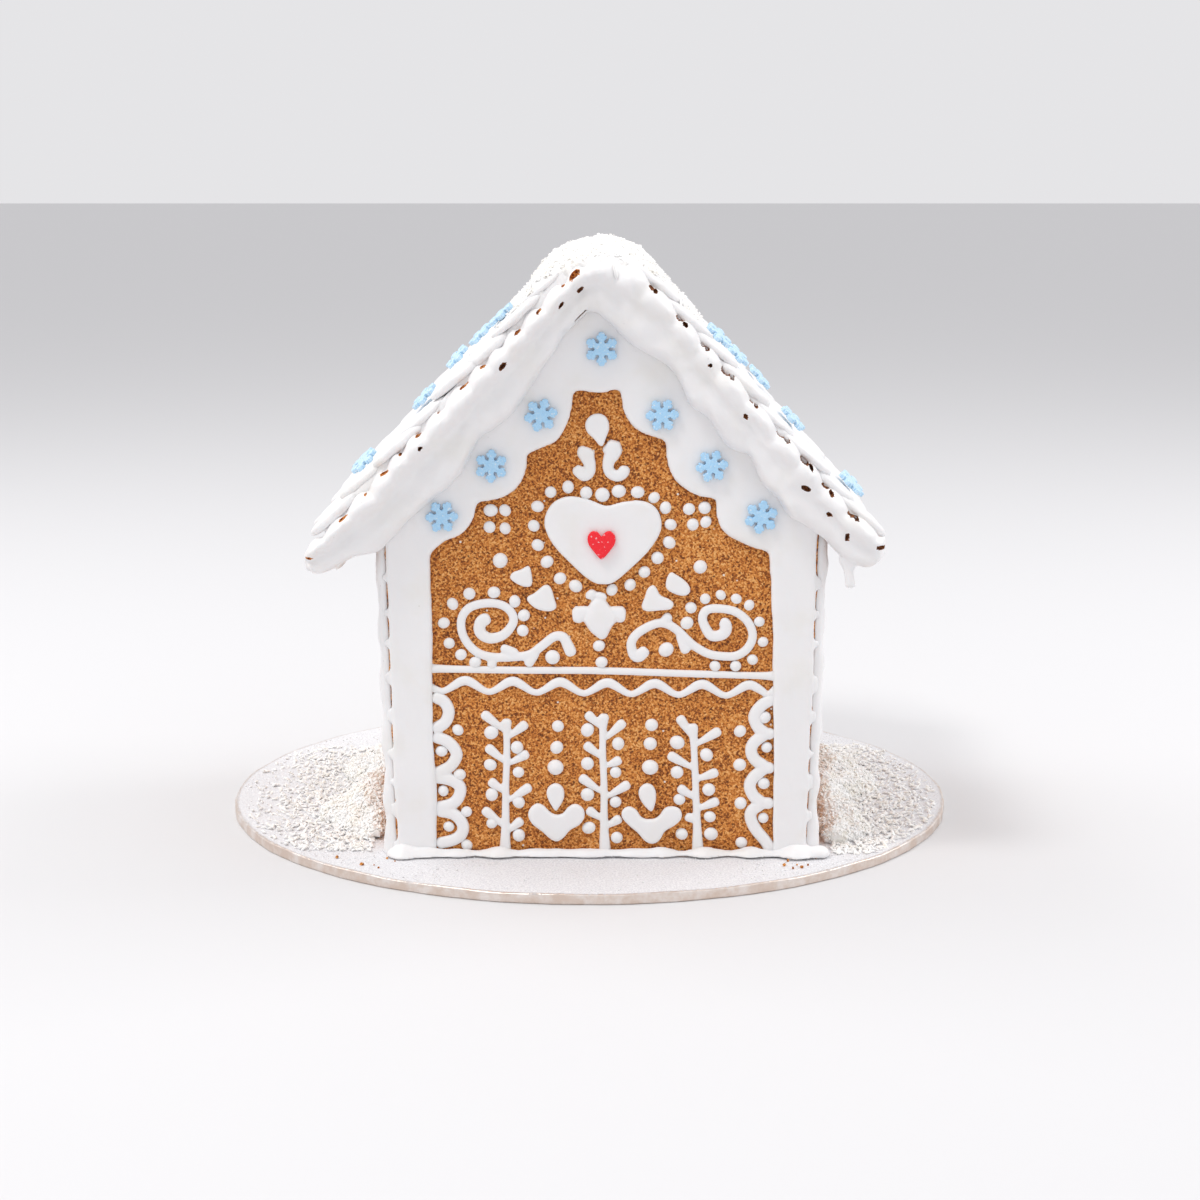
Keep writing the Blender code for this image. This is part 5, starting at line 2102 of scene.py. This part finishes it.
# Strokes with a width at each point: across, up and width
CROWN = (
    (
        (-5.6, 161.4, 7.2), (-6, 159.8, 7.4), (-5.4, 157.3, 5.4), (-4.4, 154.4, 4.2), (-4.7, 151.6, 4),
        (-6.6, 150.4, 4.2), (-8.6, 151.9, 4.2), (-10.1, 153.8, 4.4),
    ),
    (
        (0.4, 160.4, 2.4), (2.6, 160.4, 5.4), (4.4, 160.8, 7), (3.9, 158.4, 5.8), (2.9, 156.4, 4.6),
        (2.5, 153.6, 4), (3.5, 151.3, 4), (6.1, 150.3, 4.2), (8.3, 151.5, 4.2), (8.8, 154.2, 4.4),
    ),
)
BLOSSOM = (
    (
        (-1.2, 102.6, 6.4), (-1, 99, 8.6), (-0.6, 95, 13), (-0.4, 91.5, 9.6), (0.2, 88.3, 5),
        (0.4, 86.6, 3),
    ),
    ((-11.3, 96, 7.8), (-9.5, 96.2, 7.2), (-7, 97, 5.2), (-4.5, 97, 6)),
    ((9.3, 96, 7.8), (7.8, 96.2, 7), (5, 97, 5.2), (3, 97, 6)),
    ((-5.2, 105.5, 4.6), (-3.2, 103, 4.6)),
    ((0.2, 105, 5), (-0.8, 102, 5.4)),
)
# Drops: round at the top, drawn out to a point
DROPS = (
    (
        (-18, 29), (-20.4, 27.8), (-21.3, 25.3), (-20.3, 22.2), (-18.6, 19), (-17.8, 18.4),
        (-16.9, 19.6), (-15.3, 22.6), (-14.8, 25.6), (-15.8, 28),
    ),
    (
        (17.8, 29), (15.6, 27.8), (14.7, 25.3), (15.8, 22.2), (18.2, 19), (19.6, 18.2), (20.4, 19.6),
        (21, 22.6), (21, 25.6), (20, 28),
    ),
)
CROWN_DROP = (
    (-1.7, 174), (-4.4, 173), (-6, 170.2), (-5.2, 167.2), (-2.8, 164.9), (-1.1, 162.6), (0.2, 162),
    (0.9, 163.4), (1.6, 165.6), (2.6, 168.4), (2.3, 171.4), (0.8, 173.4),
)


def strokes_of(table: Sequence[Sequence[Spot]]) -> list[Stroke]:
    """Strokes from lists of places that each have a width."""
    return [Stroke([(u, v) for u, v, _ in row], [w for _, _, w in row]) for row in table]


@dataclass
class GableOrnaments:
    """Everything piped inside the window of a gable wall."""

    house: House
    finishes: Finishes
    flooded: float = 2.6
    heart: tuple[Point, ...] = (
        (1.5, 138.6), (-5, 141.2), (-12.5, 142.3), (-19, 139.3), (-21.6, 132.4), (-18.5, 124.5),
        (-10.5, 115.5), (-3.5, 109.6), (0.9, 108.7), (5, 109.8), (12, 115.5), (19.5, 123.5),
        (22.8, 130.6), (20.8, 137.6), (14.9, 140.6), (8, 140.2),
    )

    def _add(self, piece: Piece, name: str, side: Side, node: str = "") -> None:
        """Lays an ornament on its wall."""
        side.lay(piece)
        Bench.done(piece, name, [self.finishes.icing], Slot.ICING, [node] if node else [], 80)

    def _twig(self, name: str) -> Piece:
        """A stem with leaves that swell towards their tips.

        Args:
            name: its name in the table.

        Returns:
            The twig, in the side's millimetres.
        """
        stem, leaves = TWIGS[name]
        strokes = [Stroke(stem, (4.8, 3.0, 2.5, 2.5, 2.6, 4.4))]
        strokes += [Stroke((root, mid_of(root, tip), tip), (1.5, 3.4, 3.9)) for root, tip in leaves]
        return Piping.lines(strokes)

    def _band(self, name: str) -> Piece:
        """The straight line or the wavy line.

        Args:
            name: line_straight or line_wavy.

        Returns:
            The line, in the side's millimetres.
        """
        if name == "line_straight":
            line = ((-67.5, 75.6), (-63, 74.9), (-30, 74.3), (0, 74.1), (35, 72.9), (63, 72.1), (69, 72.2))
            return Piping.lines([Stroke(line, (6.5, 3.0, 2.6, 2.6, 2.6, 2.8, 6.5))])
        wave = []
        for i in range(57):
            u = -64 + 2.3 * i
            swing = math.sin((u + 57.5) * math.tau / 18.4)
            wave.append((u, 67.2 - 0.016 * u + 1.7 * swing + 0.5 * swing * abs(swing)))
        wide = [2.9 + 0.6 * math.sin((u + 57.5) * math.tau / 18.4) for u, _ in wave]
        return Piping.lines([Stroke([(-68.5, 68), *wave, (69, 67)], (4.4, *wide, 5.0))])

    def _scroll(self, name: str) -> Piece:
        """A spiral that runs out in a tail, with small leaves.

        Args:
            name: its name in the table.

        Returns:
            The scroll, in the side's millimetres.
        """
        paths = CURLS[name]
        strokes = [Stroke(paths[0], (4.8, 4.2, 3.3, 3.1, 3.2, 3.1, 3.2, 3.2, 3.4, 4.6))]
        strokes += [Stroke(path, (3.2, 3.8)) for path in paths[1:]]
        return Piping.lines(strokes)

    def _petals(self) -> Piece:
        """Four small flooded hearts."""
        return Bench.join([Piping.flooded(outline) for outline in PETALS])

    def _crown(self) -> Piece:
        """A drop over two curls that turn their backs on each other."""
        curls = Piping.lines(strokes_of(CROWN), 0.4, 2.6)
        return Bench.join([curls, Piping.flooded(CROWN_DROP, 2.5, 0.4)])

    def _blossom(self) -> Piece:
        """The four-lobed flower under the heart."""
        return Piping.lines(strokes_of(BLOSSOM), 0.42, 2.5)

    def _flooded_heart(self) -> Piece:
        """The big heart, flooded thick with a rounded edge.

        Returns:
            The heart, in the side's millimetres.
        """
        piece = Piping.flooded(self.heart, self.flooded, 0.6)
        Bench.wobble(piece, 0.3, 12.0, 4.0)
        return piece

    def _drops(self) -> Piece:
        """The two drops between the twigs."""
        return Bench.join([Piping.flooded(outline, 2.6, 0.4) for outline in DROPS])

    def build(self) -> None:
        """Makes the front's ornaments, then the back's in the same manner."""
        front, back = self.house.front, self.house.back
        for name in TWIGS:
            self._add(self._twig(name), f"piped_{name}", front, name)
        for name in CURLS:
            self._add(self._scroll(name), f"piped_{name}", front, name)
        for name, paths in LACES.items():
            self._add(Piping.lines([Stroke(path, (4.5,)) for path in paths]), f"piped_{name}", front, name)
        for name in ("line_straight", "line_wavy"):
            self._add(self._band(name), f"piped_{name}", front, name)
        self._add(self._crown(), "piped_crown", front, "crown")
        self._add(self._blossom(), "piped_blossom", front, "blossom")
        self._add(self._flooded_heart(), "flooded_heart", front, "heart_iced")
        for name, outline in LOW_HEARTS.items():
            self._add(Piping.flooded(outline, 2.5), f"flooded_{name}", front, name)
        self._add(self._petals(), "flooded_petals", front)
        self._add(self._drops(), "piped_drops", front)
        self._add(Piping.dots("beads", BEADS, 3), "piped_beads_front", front)
        lines = [self._twig(name) for name in TWIGS]
        lines += [self._band(name) for name in ("line_straight", "line_wavy")]
        lines += [Piping.lines([Stroke(path, (4.3,)) for path in paths]) for paths in LACES.values()]
        lines += [self._scroll(name) for name in CURLS]
        lines += [self._crown(), self._blossom(), self._flooded_heart(), self._petals(), self._drops()]
        lines += [Piping.flooded(outline, 2.5) for outline in LOW_HEARTS.values()]
        self._add(Bench.join(lines), "piped_lines_back", back)
        self._add(Piping.dots("beads", BEADS, 9), "piped_beads_back", back)


def mid_of(one: Point, other: Point) -> Point:
    """The place two thirds of the way from one to the other."""
    return (one[0] + (other[0] - one[0]) * 0.66, one[1] + (other[1] - one[1]) * 0.66)


@dataclass
class SideOrnaments:
    """Dots under the scallops and a row of twigs over a wavy line on each side wall."""

    house: House
    finishes: Finishes
    twigs: int = 5

    def build(self) -> None:
        """Makes both sides."""
        half = self.house.depth_half - 16.0
        for name, side in (("left", self.house.left), ("right", self.house.right)):
            strokes = []
            for i in range(self.twigs):
                foot = -half + 2 * half * (i + 0.5) / self.twigs
                strokes.append(Stroke(((foot, 16), (foot + 0.4, 40), (foot, 66)), (2.8, 2.3, 3.2)))
                for step in range(4):
                    start = 22.0 + 11.0 * step
                    strokes.append(Stroke(((foot, start), (foot - 8.5, start + 7)), (1.5, 2.6, 3.7)))
                    strokes.append(Stroke(((foot, start - 2), (foot + 8.5, start + 5)), (1.5, 2.6, 3.7)))
            wave = [(u, 76.0 + 2.0 * math.sin(u * math.tau / 18.6)) for u in np.arange(-half, half, 3.0)]
            strokes += [Stroke(wave, (2.6,)), Stroke(((-half, 83), (half, 83)), (2.4,))]
            lines = Piping.lines(strokes, 0.5)
            dots = [(-half + 2 * half * i / 24, 91.0, 4.4) for i in range(25)]
            for i in range(7):
                u = (i - 3) * (2 * (half + 2.5) / 7)
                three = [(u, 99.0, 4.8), (u - 4, 95.5, 3.6), (u + 4, 95.5, 3.6)]
                dots += three if i % 2 else [(u, 97.5, 4.8)]
            for piece, kind in ((lines, "lines"), (Piping.dots("dots", dots, 11), "beads")):
                side.lay(piece)
                Bench.done(piece, f"piped_{kind}_{name}", [self.finishes.icing], Slot.ICING, (), 80)


@dataclass
class Crumbs:
    """Biscuit crumbs that fell on the board before the front corners."""

    house: House
    finishes: Finishes
    count: int = 26

    def build(self) -> None:
        """Makes the crumbs."""
        bpy.ops.mesh.primitive_ico_sphere_add(subdivisions=2, radius=0.8 * MM)
        crumb = bpy.context.object
        Bench.wobble(crumb, 0.5 * MM, 0.6 * MM, 2.0)
        draw = random.Random(17)
        house = self.house
        places = []
        for _ in range(self.count):
            sign = draw.choice((-1, 1))
            x = house.middle + sign * draw.uniform(70, 112) * MM
            y = house.front_y - draw.uniform(4, 24) * MM
            if math.hypot(x, y) > house.board_radius - 6 * MM:
                continue
            spin = Matrix.Rotation(draw.uniform(0, 6), 4, Vector((1, draw.random(), 1)))
            place = Matrix.Translation((x, y, house.board_top + 0.4 * MM))
            places.append(place @ spin @ Matrix.Scale(draw.uniform(0.3, 0.9), 4))
        crumbs = Bench.scatter("crumbs", [crumb], places)
        Bench.done(crumbs, "biscuit_crumbs", [self.finishes.biscuit], Slot.GINGERBREAD)


# ---------------------------------------------------------------- the studio


@dataclass(frozen=True)
class Lamp:
    """A square soft light that faces the house."""

    name: str
    place: Spot
    size: float
    power: float
    tint: Spot = (1.0, 1.0, 1.0)

    def hang(self) -> None:
        """Puts the lamp in the scene."""
        lamp = bpy.data.lights.new(self.name, "AREA")
        lamp.size = self.size
        lamp.energy = self.power
        lamp.color = self.tint
        shown = bpy.data.objects.new(self.name, lamp)
        shown.location = self.place
        shown.rotation_euler = (Vector((0, 0, 0.1)) - shown.location).to_track_quat("-Z", "Y").to_euler()
        bpy.context.scene.collection.objects.link(shown)


@dataclass
class Setting:
    """Pale floor, soft light and the camera."""

    eye: Spot = (0.0044, -1.0108, 0.2764)
    tilt: float = 10.6
    lens: float = 72.0
    sensor: float = 36.0
    floor: float = 24.0
    sky: Spot = (0.96, 0.955, 0.975)
    glow: float = 0.82
    lamps: tuple[Lamp, ...] = (
        Lamp("key", (-0.65, -0.6, 1.6), 0.4, 9.5, (1.0, 0.985, 0.965)),
        Lamp("fill", (1.1, -0.7, 0.9), 1.0, 1.0, (0.97, 0.975, 1.0)),
        Lamp("right", (1.2, 0.3, 1.0), 0.8, 7.0),
        Lamp("back", (-0.9, 0.4, 1.1), 0.8, 4.5),
    )

    def build(self) -> None:
        """Sets up the studio."""
        scene = bpy.context.scene
        bpy.ops.mesh.primitive_plane_add(size=self.floor)
        floor = bpy.context.object
        floor.name = "floor"
        floor.data.materials.append(Studio().build())
        scene.world = bpy.data.worlds.new("studio")
        scene.world.use_nodes = True
        sky = scene.world.node_tree.nodes["Background"].inputs
        sky["Color"].default_value = (*self.sky, 1)
        sky["Strength"].default_value = self.glow
        for lamp in self.lamps:
            lamp.hang()
        camera = bpy.data.cameras.new("camera")
        camera.lens = self.lens
        camera.sensor_width = self.sensor
        scene.camera = bpy.data.objects.new("camera", camera)
        scene.camera.location = self.eye
        scene.camera.rotation_euler = (math.radians(90 - self.tilt), 0, 0)
        scene.collection.objects.link(scene.camera)
        scene.view_settings.view_transform = "Standard"


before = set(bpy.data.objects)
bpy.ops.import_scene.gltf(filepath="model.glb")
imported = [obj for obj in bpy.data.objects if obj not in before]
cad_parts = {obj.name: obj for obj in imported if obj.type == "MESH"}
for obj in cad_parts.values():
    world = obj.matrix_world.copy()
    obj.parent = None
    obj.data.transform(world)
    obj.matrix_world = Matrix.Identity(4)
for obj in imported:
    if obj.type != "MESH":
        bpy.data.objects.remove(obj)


def main() -> None:
    """Builds the house on its board."""
    logging.basicConfig(level=logging.INFO, format="%(message)s")
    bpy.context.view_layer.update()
    house = House()
    finishes = Finishes(house)
    CakeBoard(house, finishes).build()
    BakedPanels(finishes).build()
    Facings(house, finishes).build()
    GableRoll(house, finishes, "edge_roll_front", house.front, 0.0).build()
    GableRoll(house, finishes, "edge_roll_back", house.back, 1.7).build()
    Rolls(house, finishes).build()
    RoofTiles(house, finishes).build()
    CoconutSnow(house, finishes).build()
    SugarShapes(house, finishes).build()
    GableOrnaments(house, finishes).build()
    SideOrnaments(house, finishes).build()
    Crumbs(house, finishes).build()
    Setting().build()


if __name__ == "__main__":
    main()
